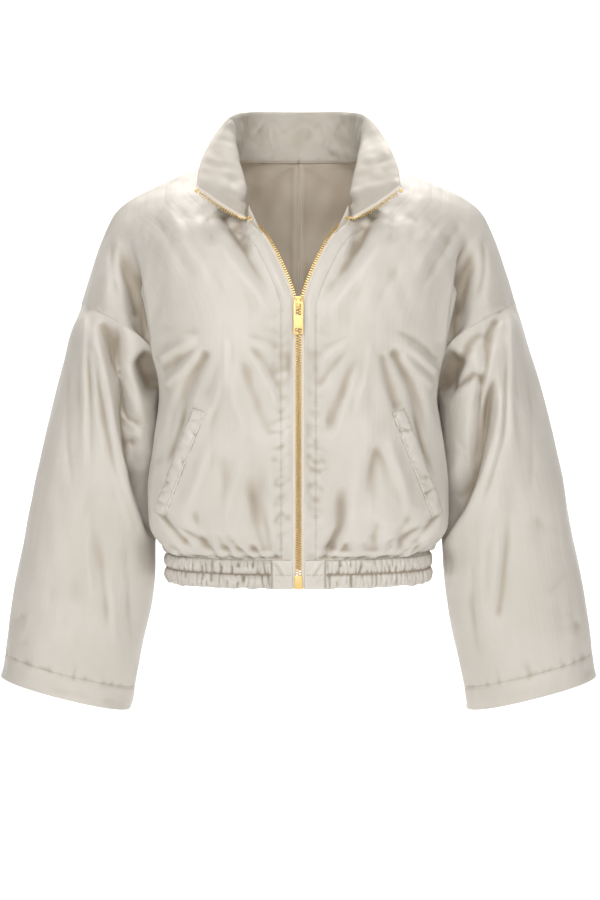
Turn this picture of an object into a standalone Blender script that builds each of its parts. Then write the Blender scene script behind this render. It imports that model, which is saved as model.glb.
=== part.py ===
"""Satin bomber jacket with wide dropped sleeves, filled out as if worn.

The front faces -Y, +X is the wearer's left and +Z is up. The origin is the middle of the neck, level
with the top of the shoulders. All sizes below are in millimetres; meshes are written in metres.

The cloth is cut in panels. Each panel is a grid of points over its outer face, read from a short table of
sections, and becomes a thin wall whose edges stop half a seam gap short of the seam line.
"""

import math

import bmesh
import bpy
import numpy as np

# ---------------------------------------------------------------- driving dimensions

MM = 0.001
CLOTH = 1.2
DOUBLE_CLOTH = 1.8
SEAM_GAP = 0.3

ZIP_EDGE = 6.2            # from the middle of the closed zip to the fold of the front
TAPE_SPAN = (0.3, 2.3)    # visible tape, measured from the fold towards the teeth
TAPE_THICK = 1.0
TEETH_SPAN = (2.6, 6.05)
TEETH_THICK = 2.6
STOP_HEIGHT = 4.0
STOP_THICK = 3.4
ZIP_STEP = 8.0            # longest straight run of tape
ZIP_SMOOTHING = 6         # passes that spread the twist where the front turns over into the collar

BAND_TOP = -436.0
BAND_BOTTOM = -468.0
BAND_PUFF = 2.2           # how far each elastic channel stands out
BAND_PROFILE = ((0.0, 0.0), (0.25, 1.0), (0.5, 0.15), (0.75, 1.0), (1.0, 0.0))  # share down, share of puff
BAND_COLUMNS = 49
TAB_WIDTH = 24.0
BOX_TOP = -453.0
BOX_WIDTH = (8.4, 10.2)   # top, bottom
BOX_DEPTH = 4.4

SLIDER_TOP = -145.0
SLIDER_BOTTOM = -159.0
SLIDER_WIDTH = (11.0, 8.6)
PLATE_THICK = 1.2
PLATE_GAP = 0.4
BRIDGE = (1.6, 3.0)       # width and height of the post between the plates
SHOULDER_CHAMFER = (1.5, 3.0)
BAIL_WIDTH = 3.0
BAIL_BAR = 1.4
BAIL_REACH = 4.4
BAIL_CLEAR = 1.1          # room for the pull's bar, above and below it
WELD = 0.4                # overlap of the slider's parts before they are joined
PULL_AXIS_DROP = 7.5      # from the top of the slider to the pull's axis
PULL_SIZE = (11.0, 35.0, 1.5)
PULL_BAR = 1.5
PULL_RAIL = 2.7
PULL_WINDOW = 12.5
PULL_SLOT = (7.4, 4.8, 1.6)  # width and height of the lower slot, and the bar under it
PULL_CHAMFER = 1.2

BINDING_WIDTH = 3.5       # strip over the collar seam, inside the back of the neck
BINDING_LIFT = 0.5

WELT_WIDTH = 15.0
WELT_LIFT = 0.6
# centre line of the pocket on the front: (distance from centre, height) at its upper and lower end
WELT_LINE = ((109.5, -270.5), (155.0, -387.5))
WELT_ROWS = 11
WELT_COLUMNS = (-1.0, -0.33, 0.33, 1.0)

# ---------------------------------------------------------------- sections of the body panels

# Each row crosses one panel from its inner edge (neck seam, then zip or centre back) to its outer edge
# (armhole seam, then side seam). The columns follow the cloth outwards.
COLUMNS = ("edge", "breast", "flank", "turn", "fold", "valley", "arm", "rim")

SHOULDER = ((88, 4, 12), (110, 4, 6), (137, 2, -4), (165, 1, -17),
            (192, 0, -31), (210, 0, -46), (226, 0, -78), (249, 0, -148))

FRONT_ROWS = {
    "shoulder": SHOULDER,
    "collar side": ((90, -28, -11), (114, -36, -18), (140, -37, -28), (166, -34, -41),
                    (189, -29, -57), (205, -27, -74), (220, -31, -104), (237, -37, -155.5)),
    "collar front": ((70, -64, -38), (102, -73, -46), (136, -70, -57), (165, -58, -71),
                     (187, -46, -88), (197, -41, -104), (207, -50, -128), (214, -62, -166)),
    "neck corner": ((57, -86, -54), (94, -98, -68), (133, -95, -85), (163, -80, -106),
                    (179, -64, -130), (177, -52, -146), (184, -58, -160), (190, -73, -180)),
    "opening": ((40, -102, -77), (84, -113, -104), (124, -108, -126), (155, -90, -150),
                (171, -73, -175), (161, -54, -184), (165, -57, -191), (171, -67, -195)),
    "slider": ((ZIP_EDGE, -122.5, -160), (70, -121.5, -166), (114, -114, -177), (149, -94, -192),
               (166, -71, -205), (160, -60, -211), (158, -55, -214), (158, -50, -215)),
    "chest": ((ZIP_EDGE, -124.5, -210), (66, -124, -213), (112, -114, -219), (144, -92, -227),
              (159, -66, -233), (156.5, -50, -237), (153.5, -38, -239), (152, -27, -240)),
}

BACK_ROWS = {
    "shoulder": SHOULDER,
    "collar side": ((72, 42, 15), (98, 40, 5), (130, 37, -9), (160, 33, -26),
                    (188, 28, -46), (205, 27, -68), (220, 31, -102), (237, 37, -155.5)),
    "collar back": ((40, 64, 16), (80, 66, 2), (120, 63, -22), (154, 55, -46),
                    (184, 47, -74), (198, 45, -98), (209, 51, -128), (214, 62, -166)),
    "neck corner": ((0, 70, 16), (62, 84, -22), (110, 82, -50), (150, 71, -78),
                    (178, 60, -112), (186, 54, -136), (188, 60, -156), (190, 73, -180)),
    "blades": ((0, 92, -60), (58, 99, -82), (106, 95, -104), (146, 81, -128),
               (171, 70, -162), (163, 54, -181), (165, 57, -191), (171, 67, -195)),
    "mid back": ((0, 105, -130), (58, 110, -142), (106, 104, -156), (145, 87, -174),
                 (166, 69, -200), (160, 60, -210), (158, 55, -214), (158, 50, -215)),
    "chest": ((0, 111, -198), (60, 113, -205), (107, 106, -213), (142, 87, -222),
              (158, 65, -231), (156.5, 50, -237), (153.5, 38, -239), (152, 27, -240)),
}

# From the underarm down each section is a rounded box: height, half width, depth in front and behind,
# roundness (2 is an ellipse), and how far the hanging sleeve presses the side in.
BODY_SECTIONS = (
    # name          z       width  front  back  round  pressed
    ("underarm", (-262.0, 161.0, 125.5, 114.0, 3.3, 9.0)),
    ("ribs", (-310.0, 169.0, 126.0, 114.0, 3.3, 10.0)),
    ("waist", (-360.0, 177.0, 125.5, 114.0, 3.2, 16.0)),
    ("blouse", (-400.0, 175.0, 124.0, 114.0, 3.1, 15.0)),
    ("tuck in", (-422.0, 164.0, 118.0, 112.0, 2.8, 8.0)),
    ("band", (BAND_TOP + SEAM_GAP, 151.0, 111.0, 110.0, 2.3, 0.0)),
)
COLUMN_ANGLES = (90.0, 77.8, 57.7, 35.5, 18.0, 10.0, 5.0, 0.0)
PRESS_SPREAD = 10.0

# Samples between the rows where seams meet: neck, opening, armhole and body.
NECK_STEPS, OPENING_STEPS, CHEST_STEPS, BODY_STEPS = 5, 5, 3, 7
COLUMN_STEPS = 2

# Sleeve rings below the armhole seam: outer and inner point (distance from centre, height), half depth.
SLEEVE_RINGS = (
    # name         outer           inner           depth
    ("gusset", ((256, -172), (163, -272), 77)),
    ("upper arm", ((268, -215), (166, -310), 70)),
    ("above elbow", ((281, -262), (168.5, -345), 66)),
    ("elbow", ((293, -311), (169, -385), 64)),
    ("below elbow", ((304, -360), (167.5, -425), 61)),
    ("forearm", ((315, -412), (167.5, -468), 59)),
    ("lower forearm", ((325, -465), (174, -515), 58)),
    ("above hem", ((334, -518), (184, -565), 57)),
    ("cuff", ((342, -578), (193, -616), 57)),
)
SLEEVE_ROUND = 2.25

# The collar stands on the neck seam, rolls outwards and flares at the front. For each row of the body
# tables that touches the neck: the middle of the roll and the point on the top edge.
COLLAR_FRONT = {
    "neck corner": ((86, -90, -39), (114, -92, -24)),
    "collar front": ((60, -71, -29), (112, -72, -2)),
    "collar side": ((69, -38, 11), (101, -38, 30)),
    "shoulder": ((75, 3, 38), (80, 8, 64)),
}
COLLAR_BACK = {
    "collar side": ((67, 46, 44), (68, 50, 73)),
    "collar back": ((38, 72, 46), (40, 79, 77)),
    "neck corner": ((0, 77, 46), (0, 84, 77)),
}
COLLAR_STEPS = 6

SATIN = (0.62, 0.57, 0.50, 1.0)
BRASS = (0.83, 0.62, 0.26, 1.0)
TAPE = (0.78, 0.73, 0.65, 1.0)


# ---------------------------------------------------------------- curves and grids

def unit(vectors):
    """Vectors of length one along the last axis."""
    return vectors / np.maximum(np.linalg.norm(vectors, axis=-1, keepdims=True), 1e-9)


def through(knots, values, at):
    """Smooth curve through values at rising knots that never overshoots between two of them."""
    knots, values, at = (np.asarray(a, dtype=float) for a in (knots, values, at))
    steps = np.diff(knots).reshape((-1,) + (1,) * (values.ndim - 1))
    slopes = np.diff(values, axis=0) / steps
    tangents = np.empty_like(values)
    tangents[0], tangents[-1] = slopes[0], slopes[-1]
    before, after = slopes[:-1], slopes[1:]
    weight_a = 2 * steps[1:] + steps[:-1]
    weight_b = steps[1:] + 2 * steps[:-1]
    same_way = before * after > 1e-12
    safe_before = np.where(same_way, before, 1.0)
    safe_after = np.where(same_way, after, 1.0)
    mean = (weight_a + weight_b) / (weight_a / safe_before + weight_b / safe_after)
    tangents[1:-1] = np.where(same_way, mean, 0.0)
    place = np.clip(np.searchsorted(knots, at, side="right") - 1, 0, len(knots) - 2)
    shape = (-1,) + (1,) * (values.ndim - 1)
    step = (knots[place + 1] - knots[place]).reshape(shape)
    t = ((at - knots[place]).reshape(shape)) / step
    return ((1 + 2 * t) * (1 - t) ** 2 * values[place]
            + t * (1 - t) ** 2 * step * tangents[place]
            + t * t * (3 - 2 * t) * values[place + 1]
            + t * t * (t - 1) * step * tangents[place + 1])


def knots_along(points, axis):
    """Rising knots from the mean distance between neighbouring rows or columns of points."""
    lengths = np.linalg.norm(np.diff(points, axis=axis), axis=-1).mean(axis=1 - axis)
    return np.concatenate(([0.0], np.cumsum(lengths)))


def body_section(size, side):
    """Control points of one section of the body, front (side -1) or back (side 1)."""
    height, width, front, back, roundness, pressed = size
    depth = front if side < 0 else back
    angles = np.radians(COLUMN_ANGLES)
    x = width * np.abs(np.cos(angles)) ** (2 / roundness)
    x -= pressed * np.exp(-(np.array(COLUMN_ANGLES) / PRESS_SPREAD) ** 2)
    x[0] = ZIP_EDGE if side < 0 else 0.0
    y = side * depth * np.abs(np.sin(angles)) ** (2 / roundness)
    return np.stack([x, y, np.full_like(x, height)], axis=1)


def panel_controls(rows, side):
    """All control rows of one body panel, from the shoulder to the band."""
    upper = [np.array(points, dtype=float) for points in rows.values()]
    lower = [body_section(size, side) for _, size in BODY_SECTIONS]
    return np.stack(upper + lower)


def row_samples(knots, rows):
    """Where the grid's rows lie on the knots, denser where the neck, opening and armhole are sewn."""
    names = list(rows)
    corner = names.index("neck corner")
    stops = [0, corner, corner + 2, len(names), len(knots) - 1]
    counts = (NECK_STEPS, OPENING_STEPS, CHEST_STEPS, BODY_STEPS)
    parts = [np.linspace(knots[a], knots[b], n, endpoint=False)
             for a, b, n in zip(stops[:-1], stops[1:], counts)]
    return np.concatenate(parts + [[knots[-1]]])


def body_grid(rows, side):
    """Grid of points over the outer face of one body panel on the wearer's left."""
    controls = panel_controls(rows, side)
    across = knots_along(controls, 1)
    columns = np.concatenate([np.linspace(a, b, COLUMN_STEPS, endpoint=False)
                              for a, b in zip(across[:-1], across[1:])] + [[across[-1]]])
    wide = through(across, controls.transpose(1, 0, 2), columns).transpose(1, 0, 2)
    down = knots_along(controls, 0)
    return through(down, wide, row_samples(down, rows))


def grid_normals(grid, closed=False):
    """Unit normals of a grid of points, closed where its columns run round a tube."""
    if closed:
        padded = np.concatenate([grid[:, -1:], grid, grid[:, :1]], axis=1)
        across = (padded[:, 2:] - padded[:, :-2]) / 2
    else:
        across = np.gradient(grid, axis=1)
    down = np.gradient(grid, axis=0)
    return unit(np.cross(down, across))


class Cloth:
    """Grid of points over a piece's outer face, its normals, and the moves that open its seams."""

    def __init__(self, points, turn=1, closed=False):
        self.points = points
        self.normals = turn * grid_normals(points, closed)
        self.mitres = self.normals.copy()
        self.moves = np.zeros_like(points)

    def inward(self, row, column, runs):
        """Way into the piece from a seam point; the seam runs along a row, a column or both."""
        here = self.points[row, column]
        way = np.zeros(3)
        if runs in ("row", "both"):
            way += unit(self.points[1 if row == 0 else row - 1, column] - here)
        if runs in ("column", "both"):
            way += unit(self.points[row, 1 if column == 0 else column - 1] - here)
        return unit(way)

    def along(self, row, column, runs):
        """Way along the seam, or zero at a corner."""
        if runs == "both":
            return np.zeros(3)
        rows, columns = self.points.shape[:2]
        if runs == "row":
            return unit(self.points[row, (column + 1) % columns] - self.points[row, column - 1])
        low, high = max(row - 1, 0), min(row + 1, rows - 1)
        return unit(self.points[high, column] - self.points[low, column])

    def faces(self, thickness):
        """Outer and inner grid of the wall."""
        outer = self.points + self.moves
        return outer, outer - self.mitres * thickness


def join(*slots):
    """Cut the pieces that meet at a seam point on one mitre, each half a gap back from it."""
    ways, seams = [], []
    for cloth, row, column, runs in slots:
        seam = cloth.along(row, column, runs)
        way = cloth.inward(row, column, runs)
        ways.append(unit(way - seam * (way @ seam)))
        seams.append(seam)
    normals = [cloth.normals[row, column] for cloth, row, column, _ in slots]
    alike = max(0.0, ways[0] @ ways[1]) if len(slots) == 2 else 0.0
    mitre = unit(sum(normals) + 3 * alike * sum(ways))
    for (cloth, row, column, _), way, seam, normal in zip(slots, ways, seams, normals):
        apart = way - normal
        apart = apart - mitre * (apart @ mitre) - seam * (apart @ seam)
        cloth.moves[row, column] = unit(apart) * SEAM_GAP / 2
        cloth.mitres[row, column] = mitre


# ---------------------------------------------------------------- meshes and materials

def material(name, colour, roughness, metallic=0.0):
    """Principled material with one colour."""
    made = bpy.data.materials.new(name)
    made.use_nodes = True
    shader = made.node_tree.nodes["Principled BSDF"]
    shader.inputs["Base Color"].default_value = colour
    shader.inputs["Roughness"].default_value = roughness
    shader.inputs["Metallic"].default_value = metallic
    return made


def add_object(name, vertices, faces, look):
    """One closed body from vertices in millimetres, its faces turned outwards."""
    mesh = bpy.data.meshes.new(name)
    mesh.from_pydata([tuple(v * MM for v in vertex) for vertex in vertices], [], faces)
    body = bmesh.new()
    body.from_mesh(mesh)
    bmesh.ops.triangulate(body, faces=body.faces)
    if body.calc_volume(signed=True) < 0:
        bmesh.ops.reverse_faces(body, faces=body.faces)
    body.to_mesh(mesh)
    body.free()
    mesh.materials.append(look)
    mesh.shade_smooth()
    mesh.set_sharp_from_angle(angle=math.radians(40))
    made = bpy.data.objects.new(name, mesh)
    bpy.context.scene.collection.objects.link(made)
    return made


def wall(name, outer, inner, look, closed=False, mirror=False):
    """Thin wall between two grids of points; closed joins its last column to its first."""
    rows, columns = outer.shape[:2]
    vertices = np.concatenate([outer.reshape(-1, 3), inner.reshape(-1, 3)])
    if mirror:
        vertices = vertices * (-1, 1, 1)
    half = rows * columns

    def at(row, column, layer=0):
        return layer * half + row * columns + column % columns

    faces = []
    spans = columns if closed else columns - 1
    for row in range(rows - 1):
        for column in range(spans):
            quad = ((row, column), (row, column + 1), (row + 1, column + 1), (row + 1, column))
            faces.append([at(r, c) for r, c in quad])
            faces.append([at(r, c, 1) for r, c in reversed(quad)])
    for column in range(spans):
        faces.append([at(0, column + 1), at(0, column), at(0, column, 1), at(0, column + 1, 1)])
        faces.append([at(rows - 1, column), at(rows - 1, column + 1),
                      at(rows - 1, column + 1, 1), at(rows - 1, column, 1)])
    if not closed:
        for row in range(rows - 1):
            faces.append([at(row, 0), at(row + 1, 0), at(row + 1, 0, 1), at(row, 0, 1)])
            faces.append([at(row + 1, columns - 1), at(row, columns - 1),
                          at(row, columns - 1, 1), at(row + 1, columns - 1, 1)])
    return add_object(name, vertices, faces, look)


def pair(stem, outer, inner, look, closed=False):
    """The same wall on both sides of the wearer."""
    wall(stem + "_left", outer, inner, look, closed)
    wall(stem + "_right", outer, inner, look, closed, mirror=True)


def prism(name, outline, near, far, look, holes=()):
    """Plate with an outline in X and Z, between two depths, with rectangular holes (x0, x1, z0, z1)."""
    plate = add_object(name, *extruded(outline, near, far), look)
    for x0, x1, z0, z1 in holes:
        cutter = add_object(name + "_cutter", *extruded(((x0, z0), (x1, z0), (x1, z1), (x0, z1)),
                                                        near - 1, far + 1), look)
        cut(plate, cutter, "DIFFERENCE")
    return plate


def extruded(outline, near, far):
    """Vertices and faces of an outline in X and Z, run from one depth to another."""
    count = len(outline)
    vertices = [(x, near, z) for x, z in outline] + [(x, far, z) for x, z in outline]
    faces = [list(range(count)), list(range(2 * count - 1, count - 1, -1))]
    for i in range(count):
        j = (i + 1) % count
        faces.append([j, i, count + i, count + j])
    return vertices, faces


def cut(target, tool, operation):
    """Apply a Boolean to the target and remove the tool."""
    change = target.modifiers.new(operation.lower(), "BOOLEAN")
    change.operation = operation
    change.solver = "EXACT"
    change.object = tool
    bpy.context.view_layer.update()
    evaluated = target.evaluated_get(bpy.context.evaluated_depsgraph_get())
    mesh = bpy.data.meshes.new_from_object(evaluated)
    target.modifiers.remove(change)
    mesh.name = target.name
    target.data = mesh
    bpy.data.objects.remove(tool)


# ---------------------------------------------------------------- the cloth

def armhole_loop(front, back):
    """Ring of armhole points, over the front from the top to the underarm and back behind."""
    last = NECK_STEPS + OPENING_STEPS + CHEST_STEPS
    return np.concatenate([front[:last + 1, -1], back[last - 1:0:-1, -1]])


def ring_angles(ring, underarm):
    """Angle of each armhole point about the sleeve's axis, from the top over the front."""
    top, low = ring[0], ring[underarm]
    half = (top - low) / 2
    along = (ring - (top + low) / 2) @ half / (half @ half)
    forward = -ring[:, 1] / np.abs(ring[:, 1]).max()
    return np.arctan2(forward, along)


def sleeve_ring(size, angles):
    """Points round one sleeve section, from its outer edge over the front."""
    (outer_x, outer_z), (inner_x, inner_z), depth = size
    cosine, sine = np.cos(angles), np.sin(angles)
    power = 2 / SLEEVE_ROUND
    along = np.sign(cosine) * np.abs(cosine) ** power
    through_depth = np.sign(sine) * np.abs(sine) ** power
    x = (outer_x + inner_x) / 2 + (outer_x - inner_x) / 2 * along
    z = (outer_z + inner_z) / 2 + (outer_z - inner_z) / 2 * along
    return np.stack([x, -depth * through_depth, z], axis=1)


def collar_grid(front, back):
    """Collar from the wearer's left front edge round the back to the middle, seam row first."""
    corner = NECK_STEPS
    seam = np.concatenate([front[corner::-1, 0], back[1:corner + 1, 0]])
    stations = np.array(list(COLLAR_FRONT.values()) + list(COLLAR_BACK.values()), dtype=float)
    at_front, at_back = len(COLLAR_FRONT) - 1, len(COLLAR_BACK)
    knots = np.arange(at_front + at_back + 1, dtype=float)
    places = np.concatenate([np.linspace(0, at_front, corner, endpoint=False),
                             np.linspace(at_front, at_front + at_back, corner + 1)])
    roll_and_top = through(knots, stations, places)
    profile = np.stack([seam, roll_and_top[:, 0], roll_and_top[:, 1]])
    return through((0.0, 1.0, 2.0), profile, np.linspace(0.0, 2.0, COLLAR_STEPS + 1))


def build_cloth(satin):
    """Fronts, backs, sleeves and collar; returns the left front and the whole collar."""
    front, back = Cloth(body_grid(FRONT_ROWS, -1)), Cloth(body_grid(BACK_ROWS, 1), turn=-1)
    neck, underarm, hem = NECK_STEPS, NECK_STEPS + OPENING_STEPS + CHEST_STEPS, len(front.points) - 1
    rim = front.points.shape[1] - 1
    ring = armhole_loop(front.points, back.points)
    angles = ring_angles(ring, underarm)
    rings = [sleeve_ring(size, angles) for _, size in SLEEVE_RINGS]
    sleeve = Cloth(np.stack([ring] + rings), turn=-1, closed=True)
    half = collar_grid(front.points, back.points)
    middle = half.shape[1] - 1
    collar = Cloth(np.concatenate([half, (half * (-1, 1, 1))[:, -2::-1]], axis=1), turn=-1)

    for column in range(1, rim):
        join((front, 0, column, "row"), (back, 0, column, "row"))
    join((front, 0, rim, "both"), (back, 0, rim, "both"), (sleeve, 0, 0, "row"))
    for row in range(1, underarm):
        join((front, row, rim, "column"), (sleeve, 0, row, "row"))
        join((back, row, rim, "column"), (sleeve, 0, len(ring) - row, "row"))
    join((front, underarm, rim, "column"), (back, underarm, rim, "column"), (sleeve, 0, underarm, "row"))
    for row in range(underarm + 1, hem + 1):
        join((front, row, rim, "column"), (back, row, rim, "column"))
    for row in range(1, neck + 1):
        join((front, row, 0, "column"), (collar, 0, neck - row, "row"))
        if row < neck:
            join((back, row, 0, "column"), (collar, 0, neck + row, "row"))
    join((front, 0, 0, "both"), (back, 0, 0, "both"), (collar, 0, neck, "row"))
    join((back, neck, 0, "both"), (collar, 0, middle, "row"))
    back.mitres[neck:, 0, 0] = 0.0
    back.moves[neck:, 0] = (SEAM_GAP / 2, 0.0, 0.0)
    for cloth in (front, back):
        cloth.mitres[hem, :, 2] = 0.0
        cloth.mitres = unit(cloth.mitres)
    for column in range(middle):
        collar.mitres[0, 2 * middle - column] = collar.mitres[0, column] * (-1, 1, 1)
        collar.moves[0, 2 * middle - column] = collar.moves[0, column] * (-1, 1, 1)

    pair("front", *front.faces(CLOTH), satin)
    pair("back", *back.faces(CLOTH), satin)
    pair("sleeve", *sleeve.faces(CLOTH), satin, closed=True)
    wall("collar", *collar.faces(DOUBLE_CLOTH), satin)
    return front, collar


def build_binding(collar, satin):
    """Narrow strip inside the neck, over the collar seam from one shoulder to the other."""
    middle = (collar.points.shape[1] - 1) // 2
    columns = slice(NECK_STEPS, 2 * middle - NECK_STEPS + 1)
    mitres = collar.mitres[0, columns]
    up = collar.points[1, columns] - collar.points[0, columns]
    up = unit(up - mitres * (up * mitres).sum(1)[:, None])
    base = collar.points[0, columns] - mitres * (DOUBLE_CLOTH + BINDING_LIFT)
    outer = np.stack([base - up * BINDING_WIDTH / 2, base + up * BINDING_WIDTH / 2])
    wall("neck_binding", outer, outer - mitres * CLOTH, satin)


def build_band(satin):
    """Elastic band in two puffed channels from tab to tab round the back, and the two flat tabs."""
    _, (_, width, front, back, roundness, _) = BODY_SECTIONS[-1]
    tab_end = ZIP_EDGE + TAB_WIDTH
    start = math.asin((tab_end / width) ** (roundness / 2))
    angles = np.linspace(start, 2 * math.pi - start, BAND_COLUMNS)

    def ring(angle, proud):
        sine, cosine = np.sin(angle), np.cos(angle)
        depth = np.where(cosine > 0, front, back)
        x = (width + proud) * np.sign(sine) * np.abs(sine) ** (2 / roundness)
        y = -(depth + proud) * np.sign(cosine) * np.abs(cosine) ** (2 / roundness)
        return x, y

    def layer(angle, inset):
        rows = []
        for share_down, puff in BAND_PROFILE:
            x, y = ring(angle, BAND_PUFF * puff - inset)
            z = BAND_TOP + (BAND_BOTTOM - BAND_TOP) * share_down
            rows.append(np.stack([x, y, np.full_like(x, z)], axis=1))
        return np.stack(rows)

    outer, inner = layer(angles, 0.0), layer(angles, DOUBLE_CLOTH)
    outer[:, 0, 0] = inner[:, 0, 0] = tab_end + SEAM_GAP
    outer[:, -1, 0] = inner[:, -1, 0] = -tab_end - SEAM_GAP
    wall("hem_band", outer, inner, satin)

    heights = np.array([BAND_TOP, (BAND_TOP + BAND_BOTTOM) / 2, BAND_BOTTOM])
    across = np.linspace(ZIP_EDGE, tab_end, 4)
    angle = np.arcsin((across / width) ** (roundness / 2))
    faces = []
    for inset in (0.0, DOUBLE_CLOTH):
        y = ring(angle, -inset)[1]
        rows = [np.stack([across, y, np.full_like(across, z)], axis=1) for z in heights]
        faces.append(np.stack(rows))
    pair("hem_tab", faces[0], faces[1], satin)


def on_front(front, x, z):
    """Point on the left front's outer facets at a distance from the centre and a height."""
    best = None
    for row in range(NECK_STEPS + OPENING_STEPS, len(front) - 1):
        for column in range(COLUMNS.index("valley") * COLUMN_STEPS):
            corners = front[row:row + 2, column:column + 2].reshape(4, 3)
            for picks in ((0, 1, 3), (0, 3, 2)):
                a, b, c = corners[list(picks)]
                edges = np.array([[b[0] - a[0], c[0] - a[0]], [b[2] - a[2], c[2] - a[2]]])
                if abs(np.linalg.det(edges)) < 1e-6:
                    continue
                s, t = np.linalg.solve(edges, (x - a[0], z - a[2]))
                if s >= -1e-6 and t >= -1e-6 and s + t <= 1 + 1e-6:
                    point = a + s * (b - a) + t * (c - a)
                    normal = unit(np.cross(b - a, c - a))
                    normal = normal if normal[1] < 0 else -normal
                    if best is None or point[1] < best[0][1]:
                        best = point, normal
    return best


def build_welts(front, satin):
    """Pocket welt on each front, laid on the panel's own facets."""
    (x0, z0), (x1, z1) = WELT_LINE
    length = math.hypot(x1 - x0, z1 - z0)
    side = np.array([-(z1 - z0), x1 - x0]) / length * WELT_WIDTH / 2
    outer, inner = [], []
    for share_down in np.linspace(0.0, 1.0, WELT_ROWS):
        row_outer, row_inner = [], []
        for share_across in WELT_COLUMNS:
            x = x0 + (x1 - x0) * share_down + side[0] * share_across
            z = z0 + (z1 - z0) * share_down + side[1] * share_across
            point, normal = on_front(front, x, z)
            row_inner.append(point + normal * WELT_LIFT)
            row_outer.append(point + normal * (WELT_LIFT + CLOTH))
        outer.append(row_outer)
        inner.append(row_inner)
    pair("pocket_welt", np.array(outer), np.array(inner), satin)


# ---------------------------------------------------------------- the zip

class ZipPath:
    """The left opening's fold from the collar's top to the box, with a frame that twists smoothly."""

    def __init__(self, front, collar):
        neck = NECK_STEPS
        sides = ((collar, slice(None, 0, -1), 1), (front, slice(neck, None), 1))
        points, normals, towards = [], [], []
        for cloth, rows, inner in sides:
            outer, back = cloth.faces(CLOTH if cloth is front else DOUBLE_CLOTH)
            points.append((outer[rows, 0] + back[rows, 0]) / 2)
            normals.append(cloth.mitres[rows, 0])
            towards.append(cloth.points[rows, 0] - cloth.points[rows, inner])
        points = np.concatenate(points)
        knots = np.concatenate([[0.0], np.cumsum(np.linalg.norm(np.diff(points, axis=0), axis=1))])
        places = np.linspace(0.0, knots[-1], int(knots[-1] / ZIP_STEP) + 1)
        places = np.unique(np.concatenate([places, knots]))
        places = places[np.concatenate([[True], np.diff(places) > ZIP_STEP / 8])]

        def spread(values):
            values = np.concatenate(values)
            return np.stack([np.interp(places, knots, values[:, axis]) for axis in range(3)], axis=1)

        self.points = spread([points])
        tangents = unit(np.gradient(self.points, axis=0))
        flat = unit(spread(towards))
        flat = unit(flat - tangents * (flat * tangents).sum(1)[:, None])
        smooth = flat.copy()
        for _ in range(ZIP_SMOOTHING):
            smooth[1:-1] = unit(smooth[:-2] + 2 * smooth[1:-1] + smooth[2:])
            tangents[1:-1] = unit(tangents[:-2] + 2 * tangents[1:-1] + tangents[2:])
        closed = self.points[:, 0] <= ZIP_EDGE + 0.01
        smooth[closed] = flat[closed] = (-1.0, 0.0, 0.0)
        self.towards = unit(smooth - tangents * (smooth * tangents).sum(1)[:, None])
        self.twist = np.linalg.norm(np.cross(self.towards, flat), axis=1)
        facing = np.cross(self.towards, tangents)
        outward = spread(normals)
        self.normals = facing * np.sign((facing * outward).sum(1))[:, None]
        keep = self.points[:, 2] > BOX_TOP + ZIP_STEP / 2
        tail = self.points[-1] * (1, 1, 0) + (0, 0, BOX_TOP + SEAM_GAP)
        self.points = np.concatenate([self.points[keep], [tail]])
        self.normals = np.concatenate([self.normals[keep], [(0.0, -1.0, 0.0)]])
        self.towards = np.concatenate([self.towards[keep], [(-1.0, 0.0, 0.0)]])
        self.twist = np.concatenate([self.twist[keep], [0.0]])

    def ribbon(self, span, thick, start=0.0, end=None):
        """Outer and inner grid of a strip beside the fold, between two lengths from the collar's top."""
        lengths = np.concatenate([[0.0], np.cumsum(np.linalg.norm(np.diff(self.points, axis=0), axis=1))])
        end = lengths[-1] if end is None else end
        inside = (lengths > start + 0.5) & (lengths < end - 0.5)
        at = np.concatenate([[start], lengths[inside], [end]])

        def read(values):
            return np.stack([np.interp(at, lengths, values[:, axis]) for axis in range(3)], axis=1)

        points, towards, normals = read(self.points), unit(read(self.towards)), unit(read(self.normals))
        clear = CLOTH / 2 * np.interp(at, lengths, self.twist)[:, None, None]
        across = np.array(span)[None, :, None] + clear
        base = points[:, None] + towards[:, None] * across
        return base + normals[:, None] * thick / 2, base - normals[:, None] * thick / 2


def build_zip(front, collar, brass, tape):
    """Tapes and teeth up both edges, top stops and box; returns the path of the left fold."""
    path = ZipPath(front, collar)
    pair("zip_tape", *path.ribbon(TAPE_SPAN, TAPE_THICK), tape)
    pair("zip_teeth", *path.ribbon(TEETH_SPAN, TEETH_THICK, start=STOP_HEIGHT), brass)
    pair("zip_stop", *path.ribbon(TEETH_SPAN, STOP_THICK, start=0.2, end=STOP_HEIGHT - SEAM_GAP), brass)
    middle = path.points[-1, 1]
    outline = ((-BOX_WIDTH[1] / 2, BAND_BOTTOM), (BOX_WIDTH[1] / 2, BAND_BOTTOM),
               (BOX_WIDTH[0] / 2, BOX_TOP), (-BOX_WIDTH[0] / 2, BOX_TOP))
    prism("zip_box", outline, middle - BOX_DEPTH / 2, middle + BOX_DEPTH / 2, brass)
    return path.points


def depth_at(points, height):
    """How far forward the zip lies at a height."""
    order = np.argsort(points[:, 2])
    return float(np.interp(height, points[order, 2], points[order, 1]))


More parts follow.
